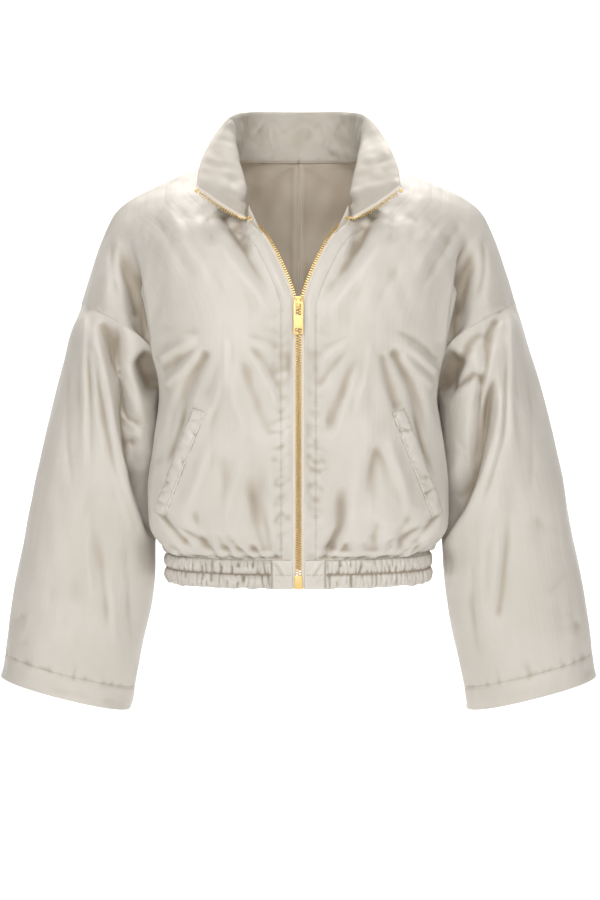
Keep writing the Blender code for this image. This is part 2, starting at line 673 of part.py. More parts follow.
def build_slider(points, brass):
    """Slider with plates before and behind the teeth, joined by a post, and its bail."""
    ends = depth_at(points, SLIDER_TOP), depth_at(points, SLIDER_BOTTOM)
    face_in = min(ends) - TEETH_THICK / 2 - PLATE_GAP
    back_in = max(ends) + TEETH_THICK / 2 + PLATE_GAP
    face_out = face_in - PLATE_THICK
    top, bottom = SLIDER_WIDTH[0] / 2, SLIDER_WIDTH[1] / 2
    across, down = SHOULDER_CHAMFER
    outline = ((-bottom, SLIDER_BOTTOM), (bottom, SLIDER_BOTTOM), (top, SLIDER_TOP - down),
               (top - across, SLIDER_TOP), (-top + across, SLIDER_TOP), (-top, SLIDER_TOP - down))
    slider = prism("zip_slider", outline, face_out, face_in, brass)
    back = prism("back_plate", outline, back_in, back_in + PLATE_THICK, brass)
    cut(slider, back, "UNION")
    width, height = BRIDGE
    post = prism("post", rectangle(width, SLIDER_TOP - height, SLIDER_TOP - WELD / 2),
                 face_in - WELD, back_in + WELD, brass)
    cut(slider, post, "UNION")
    axis = SLIDER_TOP - PULL_AXIS_DROP
    reach = face_out - BAIL_REACH
    clear = PULL_BAR + BAIL_CLEAR
    bar = prism("bail_bar", rectangle(BAIL_WIDTH, axis - clear - BAIL_BAR, axis + clear + BAIL_BAR),
                reach, reach + BAIL_BAR, brass)
    for low in (axis - clear - BAIL_BAR, axis + clear):
        foot = prism("bail_foot", rectangle(BAIL_WIDTH, low, low + BAIL_BAR),
                     reach + WELD / 2, face_out + WELD, brass)
        cut(bar, foot, "UNION")
    cut(slider, bar, "UNION")
    return (face_out + reach + BAIL_BAR) / 2, axis


def rectangle(width, low, high):
    """Outline centred on X between two heights."""
    return ((-width / 2, low), (width / 2, low), (width / 2, high), (-width / 2, high))


def build_pull(hinge, brass):
    """Pull tab hanging from the bail, its origin on the hinge axis."""
    y, z = hinge
    width, length, thick = PULL_SIZE
    top = PULL_BAR / 2
    low = top - length
    slot_width, slot_height, slot_bar = PULL_SLOT
    inside = width / 2 - PULL_RAIL
    holes = ((-inside, inside, top - PULL_BAR - PULL_WINDOW, top - PULL_BAR),
             (-slot_width / 2, slot_width / 2, low + slot_bar, low + slot_bar + slot_height))
    chamfer = PULL_CHAMFER
    outline = ((-width / 2 + chamfer, low), (width / 2 - chamfer, low), (width / 2, low + chamfer),
               (width / 2, top - chamfer), (width / 2 - chamfer, top), (-width / 2 + chamfer, top),
               (-width / 2, top - chamfer), (-width / 2, low + chamfer))
    pull = prism("zip_pull", outline, -thick / 2, thick / 2, brass, holes)
    pull.location = (0.0, y * MM, z * MM)


def main():
    """Clear the scene and build every piece."""
    for thing in list(bpy.data.objects):
        bpy.data.objects.remove(thing)
    satin = material("satin", SATIN, 0.38)
    brass = material("brass", BRASS, 0.28, 1.0)
    tape = material("zip tape", TAPE, 0.8)
    front, collar = build_cloth(satin)
    build_binding(collar, satin)
    build_band(satin)
    build_welts(front.points + front.moves, satin)
    points = build_zip(front, collar, brass, tape)
    build_pull(build_slider(points, brass), brass)


main()
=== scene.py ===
"""Looks of a satin bomber jacket with wide dropped sleeves, filled out as if worn.

Every piece of cloth is a thin shell laid on the form of its solid, with its folds, gathers, seams and
stitches. Sizes are in millimetres and meshes are written in metres. The front faces -Y, +X is the wearer's
left and the origin is the middle of the neck.
"""

import logging
import math
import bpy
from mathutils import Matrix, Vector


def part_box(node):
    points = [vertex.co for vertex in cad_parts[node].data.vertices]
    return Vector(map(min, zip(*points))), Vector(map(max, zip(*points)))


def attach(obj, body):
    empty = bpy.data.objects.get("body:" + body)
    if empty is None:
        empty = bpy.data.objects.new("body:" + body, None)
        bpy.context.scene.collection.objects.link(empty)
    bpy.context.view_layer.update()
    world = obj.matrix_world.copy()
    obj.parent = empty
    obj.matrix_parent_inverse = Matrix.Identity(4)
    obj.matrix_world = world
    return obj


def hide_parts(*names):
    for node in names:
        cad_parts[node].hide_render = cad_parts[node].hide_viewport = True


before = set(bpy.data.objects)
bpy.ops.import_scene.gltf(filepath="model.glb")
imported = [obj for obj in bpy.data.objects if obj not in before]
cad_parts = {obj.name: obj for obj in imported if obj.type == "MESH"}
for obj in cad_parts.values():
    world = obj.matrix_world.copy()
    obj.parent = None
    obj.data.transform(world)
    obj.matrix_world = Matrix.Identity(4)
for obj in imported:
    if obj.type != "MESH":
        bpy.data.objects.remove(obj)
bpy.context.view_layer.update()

from copy import copy
from dataclasses import dataclass, field
from enum import Enum

import bmesh
import bpy
import numpy as np
from mathutils import Vector
from mathutils.bvhtree import BVHTree

LOG = logging.getLogger("jacket")
Grid = np.ndarray
Pair = tuple[float, float]
Triple = tuple[float, float, float]
Piece = bpy.types.Object
Finish = bpy.types.Material
Socket = bpy.types.NodeSocket
MM = 0.001
FAR = 99.0                # distance of whatever lies out of a seam's reach

# ---- driving sizes, as the solids have them

CLOTH = 1.0               # thickness of the shells
DOUBLE_CLOTH = 1.7
UNDER = 0.35              # gap below cloth that lies on other cloth
SEAM_GAP = 0.12
ZIP_EDGE = 6.2            # from the middle of the zip to the fold of each front
BAND_TOP = -436.0
BAND_BOTTOM = -468.0
TAB_WIDTH = 24.0
BOX_TOP = -453.0
TOPSTITCH = 13.0          # from the zip's fold to the line of stitches beside it
WELT_WIDTH = 15.0
WELT_LINE = ((109.5, -270.5), (155.0, -387.5))

SHOULDER = ((88, 4, 12), (110, 4, 6), (137, 2, -4), (165, 1, -17),
            (192, 0, -31), (210, 0, -46), (226, 0, -78), (249, 0, -148))

FRONT_ROWS = {
    "shoulder": SHOULDER,
    "collar side": ((90, -28, -11), (114, -36, -18), (140, -37, -28), (166, -34, -41),
                    (189, -29, -57), (205, -27, -74), (220, -31, -104), (237, -37, -155.5)),
    "collar front": ((70, -64, -38), (102, -73, -46), (136, -70, -57), (165, -58, -71),
                     (187, -46, -88), (197, -41, -104), (207, -50, -128), (214, -62, -166)),
    "neck corner": ((57, -87, -60), (94, -98, -68), (133, -95, -85), (163, -80, -106),
                    (179, -64, -130), (177, -52, -146), (184, -58, -160), (190, -73, -180)),
    "opening": ((40, -102, -77), (84, -113, -104), (124, -108, -126), (155, -90, -150),
                (171, -73, -175), (161, -54, -184), (165, -57, -191), (171, -67, -195)),
    "slider": ((ZIP_EDGE, -122.5, -160), (70, -121.5, -166), (114, -114, -177), (149, -94, -192),
               (166, -71, -205), (160, -60, -211), (158, -55, -214), (158, -50, -215)),
    "chest": ((ZIP_EDGE, -124.5, -210), (66, -124, -213), (112, -114, -219), (144, -92, -227),
              (159, -66, -233), (156.5, -50, -237), (153.5, -38, -239), (152, -27, -240)),
}
BACK_ROWS = {
    "shoulder": SHOULDER,
    "collar side": ((72, 42, 15), (98, 40, 5), (130, 37, -9), (160, 33, -26),
                    (188, 28, -46), (205, 27, -68), (220, 31, -102), (237, 37, -155.5)),
    "collar back": ((40, 64, 16), (80, 66, 2), (120, 63, -22), (154, 55, -46),
                    (184, 47, -74), (198, 45, -98), (209, 51, -128), (214, 62, -166)),
    "neck corner": ((0, 70, 16), (62, 84, -22), (110, 82, -50), (150, 71, -78),
                    (178, 60, -112), (186, 54, -136), (188, 60, -156), (190, 73, -180)),
    "blades": ((0, 92, -60), (58, 99, -82), (106, 95, -104), (146, 81, -128),
               (171, 70, -162), (163, 54, -181), (165, 57, -191), (171, 67, -195)),
    "mid back": ((0, 105, -130), (58, 110, -142), (106, 104, -156), (145, 87, -174),
                 (166, 69, -200), (160, 60, -210), (158, 55, -214), (158, 50, -215)),
    "chest": ((0, 111, -198), (60, 113, -205), (107, 106, -213), (142, 87, -222),
              (158, 65, -231), (156.5, 50, -237), (153.5, 38, -239), (152, 27, -240)),
}
# Height, half width, depth in front and behind, roundness, and how far the sleeve presses the side in.
BODY_SECTIONS = (
    (-262.0, 161.0, 125.5, 114.0, 3.3, 9.0),
    (-310.0, 169.0, 126.0, 114.0, 3.3, 18.0),
    (-360.0, 177.0, 125.5, 114.0, 3.2, 21.0),
    (-400.0, 175.0, 124.0, 114.0, 3.1, 15.0),
    (-422.0, 164.0, 118.0, 112.0, 2.8, 8.0),
    (BAND_TOP + SEAM_GAP, 151.0, 111.0, 110.0, 2.3, 0.0),
)
COLUMN_ANGLES = (90.0, 77.8, 57.7, 35.5, 18.0, 10.0, 5.0, 0.0)
PRESS_SPREAD = 10.0       # degrees over which the sleeve's press dies away
# Outer and inner point (distance from centre, height) and half depth of each sleeve ring, gusset to cuff.
SLEEVE_RINGS = (
    ((256, -172), (160, -272), 77), ((268, -215), (158.5, -310), 70), ((281, -262), (161, -345), 66),
    ((293, -311), (164.5, -385), 64), ((304, -360), (166, -425), 61), ((315, -412), (167.5, -468), 59),
    ((325, -465), (174, -515), 58), ((334, -518), (184, -565), 57), ((342, -578), (193, -616), 57),
)
SLEEVE_ROUND = 2.25
# The middle of the collar's roll and its top edge, from the front edge round to the middle of the back.
COLLAR_STATIONS = (
    ((85.5, -90, -43), (114, -92, -24)), ((60, -71, -29), (112, -72, -2)), ((69, -38, 11), (101, -38, 30)),
    ((75, 3, 38), (80, 8, 64)), ((67, 46, 44), (68, 50, 73)), ((38, 72, 46), (40, 79, 77)),
    ((0, 77, 46), (0, 84, 77)),
)
SHOULDER_STATION = 3
COLLAR_HEIGHT = 66.0
COLLAR_ROWS = 34
FOOT_BULGE = 5.0          # how far the collar swells beside the zip, above its seam
BULGE_PLACE = (15.0, 12.5)
BULGE_SPREAD = (10.0, 11.0)
FACING_LOW = -76.0        # where the roll of the front ends; the next is its line from the collar's seam
FACING_ROLL = ((55.4, -77, -42), (40.5, -102, -75))
CUFF_HEM = 27.0           # height of the turned hem at each sleeve's end
LEAST_SIDE = 10.0         # shortest side that a flat size may state
TOOTH_OUTLINE = ((-0.6, -1.85), (0.6, -1.85), (0.75, 0.5), (0.5, 2.1), (-0.5, 2.1), (-0.75, 0.5))
STITCH_OUTLINE = ((0.3, 0.05), (0.15, 0.26), (-0.15, 0.26), (-0.3, 0.05), (-0.15, -0.12), (0.15, -0.12))

# How closely the shells are divided.
FORM_PITCH = 3.0          # of the first, even grids
PANEL_PITCH = (2.3, 2.5)  # across, down
ZIP_SIDE = (24.0, 1.5)    # width beside the zip that is divided more finely, and its pitch
SLEEVE_PITCH = 2.6
COLLAR_PITCH = 1.8
EDGE_STEPS = (0.0, 0.18, 0.5, 1.0, 1.8, 3.0)
SEAM_BLEND = 6            # rows or columns beside a seam that share its cut
STITCH = 3.1              # from one stitch to the next
TOOTH_PITCH = 2.8

# How folds are judged for the painted shade in their hollows and painted light on their ridges: how far
# round a point, the height that counts as 1, and the limits.
PAINTED_SHADE_REACH = (3.4, 10.5)
PAINTED_SHADE_HEIGHT = (0.7, 4.4)
PAINTED_SHADE_RANGE = (-1.5, 1.0)


# ---- curves and grids

def unit(vectors: Grid) -> Grid:
    """Vectors of length one along the last axis."""
    return vectors / np.maximum(np.linalg.norm(vectors, axis=-1, keepdims=True), 1e-9)


def through(knots: Grid, values: Grid, at: Grid) -> Grid:
    """Smooth curve through values at rising knots that never overshoots between two of them.

    Args:
        knots: Rising positions of the values.
        values: One value, or array of values, for each knot.
        at: Positions to read.

    Returns:
        The values at those positions.
    """
    knots, values, at = (np.asarray(a, dtype=float) for a in (knots, values, at))
    steps = np.diff(knots).reshape((-1,) + (1,) * (values.ndim - 1))
    slopes = np.diff(values, axis=0) / steps
    tangents = np.empty_like(values)
    tangents[0], tangents[-1] = slopes[0], slopes[-1]
    before, after = slopes[:-1], slopes[1:]
    weight_a, weight_b = 2 * steps[1:] + steps[:-1], steps[1:] + 2 * steps[:-1]
    same_way = before * after > 1e-12
    safe_before, safe_after = np.where(same_way, before, 1.0), np.where(same_way, after, 1.0)
    mean = (weight_a + weight_b) / (weight_a / safe_before + weight_b / safe_after)
    tangents[1:-1] = np.where(same_way, mean, 0.0)
    place = np.clip(np.searchsorted(knots, at, side="right") - 1, 0, len(knots) - 2)
    shape = (-1,) + (1,) * (values.ndim - 1)
    step = (knots[place + 1] - knots[place]).reshape(shape)
    t = (at - knots[place]).reshape(shape) / step
    return ((1 + 2 * t) * (1 - t) ** 2 * values[place] + t * (1 - t) ** 2 * step * tangents[place]
            + t * t * (3 - 2 * t) * values[place + 1] + t * t * (t - 1) * step * tangents[place + 1])


def ease(low: float, high: float, values: Grid) -> Grid:
    """Smooth step from 0 at low to 1 at high; low may be the larger."""
    t = np.clip((values - low) / (high - low), 0.0, 1.0)
    return t * t * (3 - 2 * t)


def travelled(points: Grid, axis: int = 0) -> Grid:
    """Distance travelled along one axis of a grid, or along a line, averaged over the other axes."""
    steps = np.moveaxis(np.linalg.norm(np.diff(points, axis=axis), axis=-1), axis, 0)
    return np.concatenate([[0.0], np.cumsum(steps.mean(tuple(range(1, steps.ndim))))])


def read_line(at: Grid | float, knots: Grid, line: Grid) -> Grid:
    """Points or directions of a line at given distances, where the knots are its own distances."""
    return np.stack([np.interp(at, knots, part) for part in line.T], axis=-1)


def lengths_along(grid: Grid, axis: int) -> Grid:
    """Distance travelled to each point of a grid.

    Args:
        grid: Grid of points.
        axis: 0 to start from the first row, 1 from the first column.

    Returns:
        Grid of distances.
    """
    steps = np.linalg.norm(np.diff(grid, axis=axis), axis=-1)
    start = np.zeros_like(steps[:1] if axis == 0 else steps[:, :1])
    return np.concatenate([start, np.cumsum(steps, axis=axis)], axis=axis)


def divided(length: float, pitch: float, first: bool = True, last: bool = True) -> Grid:
    """Positions from 0 to a length at about one pitch, closer together towards its ends.

    Args:
        length: The whole length.
        pitch: Distance between two positions away from the ends.
        first: True where they come closer together at the start.
        last: True where they do so at the end.

    Returns:
        The positions.
    """
    near = np.array(EDGE_STEPS)
    start = near if first else near[:1]
    end = length - near[::-1] if last else np.array([length])
    count = max(2, round((end[0] - start[-1]) / pitch) + 1)
    return np.concatenate([start[:-1], np.linspace(start[-1], end[0], count), end[1:]])


def relax(grid: Grid, passes: int, closed: bool = False) -> Grid:
    """Round off the bends inside a grid of points; its edges stay, so that seams still meet.

    Args:
        grid: Grid of points at about even spacing.
        passes: How many times each point moves towards its neighbours.
        closed: True where the columns run round a tube.

    Returns:
        The rounded grid.
    """
    grid = grid.copy()
    for _ in range(passes):
        if closed:
            across = (np.roll(grid, 1, axis=1) + 2 * grid + np.roll(grid, -1, axis=1)) / 4
            grid[1:-1] = across[1:-1]
            grid[1:-1] = (grid[:-2] + 2 * grid[1:-1] + grid[2:]) / 4
        else:
            grid[1:-1, 1:-1] = (grid[1:-1, :-2] + 2 * grid[1:-1, 1:-1] + grid[1:-1, 2:]) / 4
            grid[1:-1, 1:-1] = (grid[:-2, 1:-1] + 2 * grid[1:-1, 1:-1] + grid[2:, 1:-1]) / 4
    return grid


def normals_of(grid: Grid, turn: int = 1, closed: bool = False) -> Grid:
    """Unit normals of a grid of points.

    Args:
        grid: Grid of points.
        turn: -1 where its rows and columns would give inward normals.
        closed: True where the columns run round a tube.

    Returns:
        Grid of normals.
    """
    if closed:
        across = np.roll(grid, -1, axis=1) - np.roll(grid, 1, axis=1)
    else:
        across = np.gradient(grid, axis=1)
    return turn * unit(np.cross(np.gradient(grid, axis=0), across))


# ---- folds

class FoldKind(Enum):
    """Section of a fold."""

    TROUGH = "trough"     # soft hollow
    RIDGE = "ridge"       # soft raised fold
    HOLLOW = "hollow"     # hollow with a level floor and steep walls
    LAP = "lap"           # raised edge that drops steeply on the right-hand side of its path

    def lay(self, depth: float, width: Pair, *path: Pair, fade: Pair = (0.3, 0.3)) -> "Fold":
        """Fold of this kind, from its depth, its half widths and the points of its path."""
        return Fold(path, width, depth, self, fade)


@dataclass(frozen=True)
class Fold:
    """One crease, placed as the front or back view shows it.

    Attributes:
        path: Points (distance from the centre, height) along the fold.
        width: Half width at its start and end.
        depth: How far it stands out or sinks in.
        kind: Its section.
        fade: Share of its length over which each end dies away; 0 rounds that end off instead.
        reach: Half widths beyond which it moves nothing.
    """

    path: tuple[Pair, ...]
    width: Pair
    depth: float
    kind: FoldKind
    fade: Pair
    reach: float = 3.2

    def height(self, x: Grid, z: Grid) -> Grid:
        """How far the fold moves the cloth at points of the view.

        Args:
            x: Distances from the centre.
            z: Heights.

        Returns:
            Moves along the normal.
        """
        line = np.array(self.path, dtype=float)
        if len(line) > 2:
            knots = travelled(line)
            line = through(knots, line, np.linspace(0, knots[-1], 4 * (len(line) - 1) + 1))
        reach = self.reach * max(self.width)
        low, high = line.min(0) - reach, line.max(0) + reach
        out = np.zeros_like(x)
        near = (x > low[0]) & (x < high[0]) & (z > low[1]) & (z < high[1])
        if near.any():
            off, share = self.nearest(line, x[near], z[near])
            width = self.width[0] + (self.width[1] - self.width[0]) * np.clip(share, 0, 1)
            ends = np.ones_like(share)
            for fade, reached in zip(self.fade, (share, 1 - share)):
                ends *= ease(0, fade, reached) if fade else 1.0
            out[near] = self.depth * self.section(off / width) * ends
        return out

    def section(self, off: Grid) -> Grid:
        """Height across a fold of depth 1.

        Args:
            off: Distances from its path in half widths, above 0 on the right-hand side.

        Returns:
            Heights.
        """
        if self.kind is FoldKind.LAP:
            lip = 0.3
            return np.where(off < 0, lip * np.exp(-(off / 1.2) ** 2),
                            (lip - (1 + lip) * ease(0, 0.6, off)) * ease(2.8, 0.6, off))
        if self.kind is FoldKind.HOLLOW:
            return ease(0.25, 1.25, np.abs(off)) - 1
        return np.exp(-off * off) if self.kind is FoldKind.RIDGE else -np.exp(-np.abs(off) ** 1.35)

    @staticmethod
    def nearest(line: Grid, x: Grid, z: Grid) -> tuple[Grid, Grid]:
        """Place of points in relation to a line.

        Args:
            line: Points of the line.
            x: Distances from the centre.
            z: Heights.

        Returns:
            Distances from the line, above 0 on its right-hand side, and the share of it that is passed.
        """
        passed = travelled(line)
        best = np.full(x.shape, np.inf)
        side, share = np.zeros_like(x), np.zeros_like(x)
        for here, step, start in zip(line, np.diff(line, axis=0), passed):
            long = step @ step
            t = np.clip(((x - here[0]) * step[0] + (z - here[1]) * step[1]) / long, 0, 1)
            dx, dz = x - here[0] - t * step[0], z - here[1] - t * step[1]
            away = dx * dx + dz * dz
            take = away < best
            best = np.where(take, away, best)
            side = np.where(take, np.sign(dx * step[1] - dz * step[0]), side)
            share = np.where(take, (start + t * math.sqrt(long)) / passed[-1], share)
        return np.sqrt(best) * side, share


class Ripple:
    """Smooth seeded waves that give cloth its small unevenness."""

    waves = 22

    def __init__(self, seed: int, lengths: Triple) -> None:
        """Draw the waves.

        Args:
            seed: Seed of the draw.
            lengths: Typical wave length along X, Y and Z.
        """
        random = np.random.default_rng(seed)
        ways = unit(random.normal(size=(self.waves, 3))) * random.uniform(0.6, 1.5, (self.waves, 1))
        self.pull = ways * 2 * math.pi / np.array(lengths)
        self.phase = random.uniform(0, 2 * math.pi, self.waves)

    def at(self, points: Grid) -> Grid:
        """Height of the waves at points.

        Args:
            points: Grid of points.

        Returns:
            Heights, about between -2 and 2.
        """
        heights = np.zeros(points.shape[:-1])
        for pull, phase in zip(self.pull, self.phase):
            heights += np.sin(points @ pull + phase)
        return heights * math.sqrt(2 / self.waves)


@dataclass(frozen=True)
class Gathers:
    """Small pinches that run away from a seam, each of its own length, depth and lean.

    Attributes:
        pitch: Usual distance from one pinch to the next.
        depth: Depth of the deepest.
        length: Usual length, away from the seam.
        width: Usual half width.
        lean: How much they lean.
    """

    pitch: float
    depth: float
    length: float
    width: float
    lean: float = 0.15

    def height(self, seed: int, along: Grid, away: Grid) -> Grid:
        """Moves of the cloth.

        Args:
            seed: Seed of the draw.
            along: Distances along the seam.
            away: Distances away from it.

        Returns:
            Moves along the normal.
        """
        random = np.random.default_rng(seed)
        out = np.zeros_like(along)
        place = along.min() + self.pitch * random.uniform(0, 1)
        while place < along.max():
            depth, length = random.uniform(0.3, 1.0) * self.depth, random.uniform(0.35, 1.3) * self.length
            width, lean = random.uniform(0.6, 1.4) * self.width, random.normal(0, self.lean)
            near = (np.abs(along - place) < 8 * width + length) & (away < length)
            off = (along[near] - place - lean * away[near]) / (width * (1 + 1.6 * away[near] / length))
            out[near] -= depth * np.exp(-off * off) * ease(length, 0, away[near])
            place += self.pitch * random.uniform(0.45, 1.6)
        return out


# ---- shells

def relief(grid: Grid, turn: int, closed: bool) -> Grid:
    """How far each point stands out (above 0) or sinks in (below 0), for painted light on ridges and painted
    shade in hollows.

    Args:
        grid: Grid of points.
        turn: 1 or -1, so that its normals face outward.
        closed: True where the columns run round a tube.

    Returns:
        Values within PAINTED_SHADE_RANGE; small folds and wide folds count alike.
    """
    normals = normals_of(grid, turn, closed)
    pitch = math.sqrt(float(np.linalg.norm(np.diff(grid, axis=0), axis=-1).mean())
                      * float(np.linalg.norm(np.diff(grid, axis=1), axis=-1).mean()))
    out = np.zeros(grid.shape[:2])
    for reach, height in zip(PAINTED_SHADE_REACH, PAINTED_SHADE_HEIGHT):
        passes = min(400, max(2, round(2 * (reach / pitch) ** 2)))
        out += ((grid - relax(grid, passes, closed)) * normals).sum(-1) / height
    return relax(np.clip(out, *PAINTED_SHADE_RANGE), 1, closed)


class Layer(Enum):
    """Side of a shell, and the slot of its finish."""

    OUTSIDE = 0
    INSIDE = 1


def place_object(name: str, data: bpy.types.ID) -> Piece:
    """Put data into the scene, unmoved.

    Args:
        name: Name of the object.
        data: Its mesh, light or camera.

    Returns:
        The object.
    """
    made = bpy.data.objects.new(name, data)
    bpy.context.scene.collection.objects.link(made)
    return made


def quads_of(rows: int, columns: int, closed: bool = False) -> Grid:
    """Faces between the points of a grid.

    Args:
        rows: Number of rows.
        columns: Number of columns.
        closed: True where the last column meets the first.

    Returns:
        Four indices of points for each face.
    """
    r, c = np.meshgrid(np.arange(rows - 1), np.arange(columns if closed else columns - 1), indexing="ij")
    n = (c + 1) % columns
    corners = [r * columns + c, r * columns + n, (r + 1) * columns + n, (r + 1) * columns + c]
    return np.stack(corners, -1).reshape(-1, 4)


def rims_of(rows: int, columns: int, closed: bool) -> list[Grid]:
    """Faces that close a shell between the edges of its two grids.

    Args:
        rows: Number of rows.
        columns: Number of columns.
        closed: True where the last column meets the first.

    Returns:
        Arrays of faces, as quads_of gives them.
    """
    half = rows * columns
    top = np.arange(columns if closed else columns - 1)
    after = (top + 1) % columns
    last = half - columns
    rims = [(after, top, top + half, after + half),
            (last + top, last + after, last + after + half, last + top + half)]
    if not closed:
        up = np.arange(rows - 1) * columns
        side = up + columns - 1
        rims += [(up, up + columns, up + columns + half, up + half),
                 (side + columns, side, side + half, side + columns + half)]
    return [np.stack(rim, -1) for rim in rims]


def shell(name: str, outer: Grid, inner: Grid, finishes: list, closed: bool = False,
          tone: float = 1.0, shade: Grid | float = 0.0) -> Piece:
    """Closed thin piece between two grids of points, with a UV map in metres along and across the cloth.

    Args:
        name: Name of the piece.
        outer: Grid of points of its outer face.
        inner: Grid of points of its inner face.
        finishes: Materials of the outside and the inside.
        closed: True where the last column meets the first.
        tone: How strongly the painted shade and light of its folds show.
        shade: Added to the painted tone of its folds, below 0 for more painted shade.

    Returns:
        The piece.
    """
    rows, columns = outer.shape[:2]
    half = rows * columns
    quads = quads_of(rows, columns, closed)
    rims = rims_of(rows, columns, closed)
    faces = np.concatenate([quads, quads[:, ::-1] + half] + rims)
    vertices = np.concatenate([outer.reshape(-1, 3), inner.reshape(-1, 3)]) * MM
    a, b, c, d = (vertices[faces[:, i]] - vertices.mean(0) for i in range(4))
    if (a * np.cross(b, c)).sum() + (a * np.cross(c, d)).sum() < 0:
        faces = faces[:, ::-1]
    mesh = bpy.data.meshes.new(name)
    mesh.from_pydata(vertices, [], faces.tolist())
    across = lengths_along(outer, 1) * MM
    down = lengths_along(outer, 0).mean(1, keepdims=True) * MM + np.zeros((rows, columns))
    flat = np.stack([across, down], -1).reshape(-1, 2)
    corners = faces.ravel() % half
    flat = flat[corners]
    if closed:
        turned = (corners % columns == 0) & np.repeat((faces % columns == columns - 1).any(1), 4)
        flat[turned, 0] += across[corners[turned] // columns, -1] + SLEEVE_PITCH * MM
    mesh.uv_layers.new(name="cloth").data.foreach_set("uv", flat.ravel())
    turn = 1 if (normals_of(outer, 1, closed) * (outer - inner)).sum() > 0 else -1
    # Painted shade in the hollows and painted light on the ridges, stored as the fold attribute for the
    # material's colour.
    folds = [relief(outer, turn, closed), relief(inner, -turn, closed)]
    folds = np.concatenate([(tone * part + shade).ravel() for part in folds])
    mesh.attributes.new("fold", "FLOAT", "POINT").data.foreach_set("value", folds)
    sides = np.full(len(faces), Layer.OUTSIDE.value, dtype=np.int32)
    sides[len(quads):2 * len(quads)] = Layer.INSIDE.value
    mesh.polygons.foreach_set("material_index", sides)
    for finish in finishes:
        mesh.materials.append(finish)
    mesh.shade_smooth()
    mesh.update()
    return place_object(name, mesh)


# ---- forms of the cloth

class Side(Enum):
    """Side of the wearer."""

    LEFT = 1
    RIGHT = -1

    @property
    def label(self) -> str:
        """Word used in the names of pieces."""
        return self.name.lower()

    def turn(self, points: Grid) -> Grid:
        """Points or directions of the left side, brought to this side."""
        return points * (self.value, 1, 1)


class Cloth:
    """One piece's base form: its points, their distance from each edge, and how its edges are cut.

    Attributes:
        points: Grid of points of the outer face.
        normals: Unit normals of that face.
        cuts: Directions in which the wall is thick; on a seam, both pieces share them.
        top, bottom, start, end: Grids of distances from the first and last row, and first and last column.
        held: Distance from an edge over which its cut still counts.
        wear: How deep and how wide the edges are rounded, as shares of the thickness.
    """

    held = 3.0
    wear = (0.47, 0.9)

    def __init__(self, points: Grid, turn: int = 1, closed: bool = False) -> None:
        """Measure a grid.

        Args:
            points: Grid of points.
            turn: -1 where its rows and columns would give inward normals.
            closed: True for a tube.
        """
        self.points, self.closed, self.turn = points, closed, turn
        self.normals = normals_of(points, turn, closed)
        self.cuts = self.normals.copy()
        down, across = lengths_along(points, 0), lengths_along(points, 1)
        self.top, self.bottom = down, down[-1:] - down
        self.start, self.end = across, across[:, -1:] - across

    @classmethod
    def facing_front(cls, points: Grid) -> "Cloth":
        """Measured grid, turned so that its normals face the front."""
        cloth = cls(points)
        return cls(points, turn=-1) if cloth.normals[..., 1].mean() > 0 else cloth

    def for_side(self, side: Side) -> "Cloth":
        """This piece on one side of the wearer.

        Args:
            side: The side; as measured, the piece is on the left.

        Returns:
            The piece itself, or its mirror image.
        """
        if side is Side.LEFT:
            return self
        other = copy(self)
        for name in ("points", "normals", "cuts"):
            setattr(other, name, side.turn(getattr(self, name)))
        other.turn = -self.turn
        return other

    def edge(self) -> Grid:
        """Distance to the nearest edge."""
        sides = [self.top, self.bottom] if self.closed else [self.top, self.bottom, self.start, self.end]
        return np.minimum.reduce(sides)

    def faces(self, moves: Grid, thick: float, extra: Grid | float = 0.0) -> tuple:
        """Outer and inner grid of the shell once its folds are in, with rounded edges.

        Args:
            moves: Height of the folds at each point.
            thick: Thickness of the wall.
            extra: More thickness on the inside, such as a turned hem.

        Returns:
            The two grids.
        """
        outer = self.points + self.normals * moves[..., None]
        facing = normals_of(outer, self.turn, self.closed)
        edge = self.edge()
        held = ease(self.held, 0.0, edge)[..., None]
        cuts = unit(self.cuts * held + facing * (1 - held))
        depth, width = self.wear
        share = np.clip(1 - edge / (thick * width), 0, 1)
        worn = (depth * thick * (1 - np.sqrt(1 - share ** 2)))[..., None]
        extra = np.broadcast_to(np.asarray(extra, dtype=float), moves.shape)[..., None]
        return outer - cuts * worn, outer - cuts * (thick + extra - worn)


def sew(first: Cloth, second: Cloth, seam_a: tuple, seam_b: tuple, next_a: tuple, next_b: tuple) -> None:
    """Cut two pieces on one mitre along their seam.

    Args:
        first: One piece.
        second: The other.
        seam_a: Index of the seam's points in the first piece.
        seam_b: Index of the same points in the second.
        next_a: Index of the points next to them in the first piece.
        next_b: Index of the points next to them in the second.
    """
    here = first.points[seam_a]
    along = unit(np.gradient(here, axis=0))
    ways = []
    for cloth, beside in ((first, next_a), (second, next_b)):
        way = cloth.points[beside] - here
        ways.append(unit(way - along * (way * along).sum(-1, keepdims=True)))
    alike = np.maximum(0, (ways[0] * ways[1]).sum(-1, keepdims=True))
    cut = unit(first.normals[seam_a] + second.normals[seam_b] + 3 * alike * (ways[0] + ways[1]))
    first.cuts[seam_a], second.cuts[seam_b] = cut, cut


def part(points: Grid) -> None:
    """Draw the first row of a grid back from its seam by half the gap."""
    points[0] += unit(points[4] - points[0]) * SEAM_GAP / 2


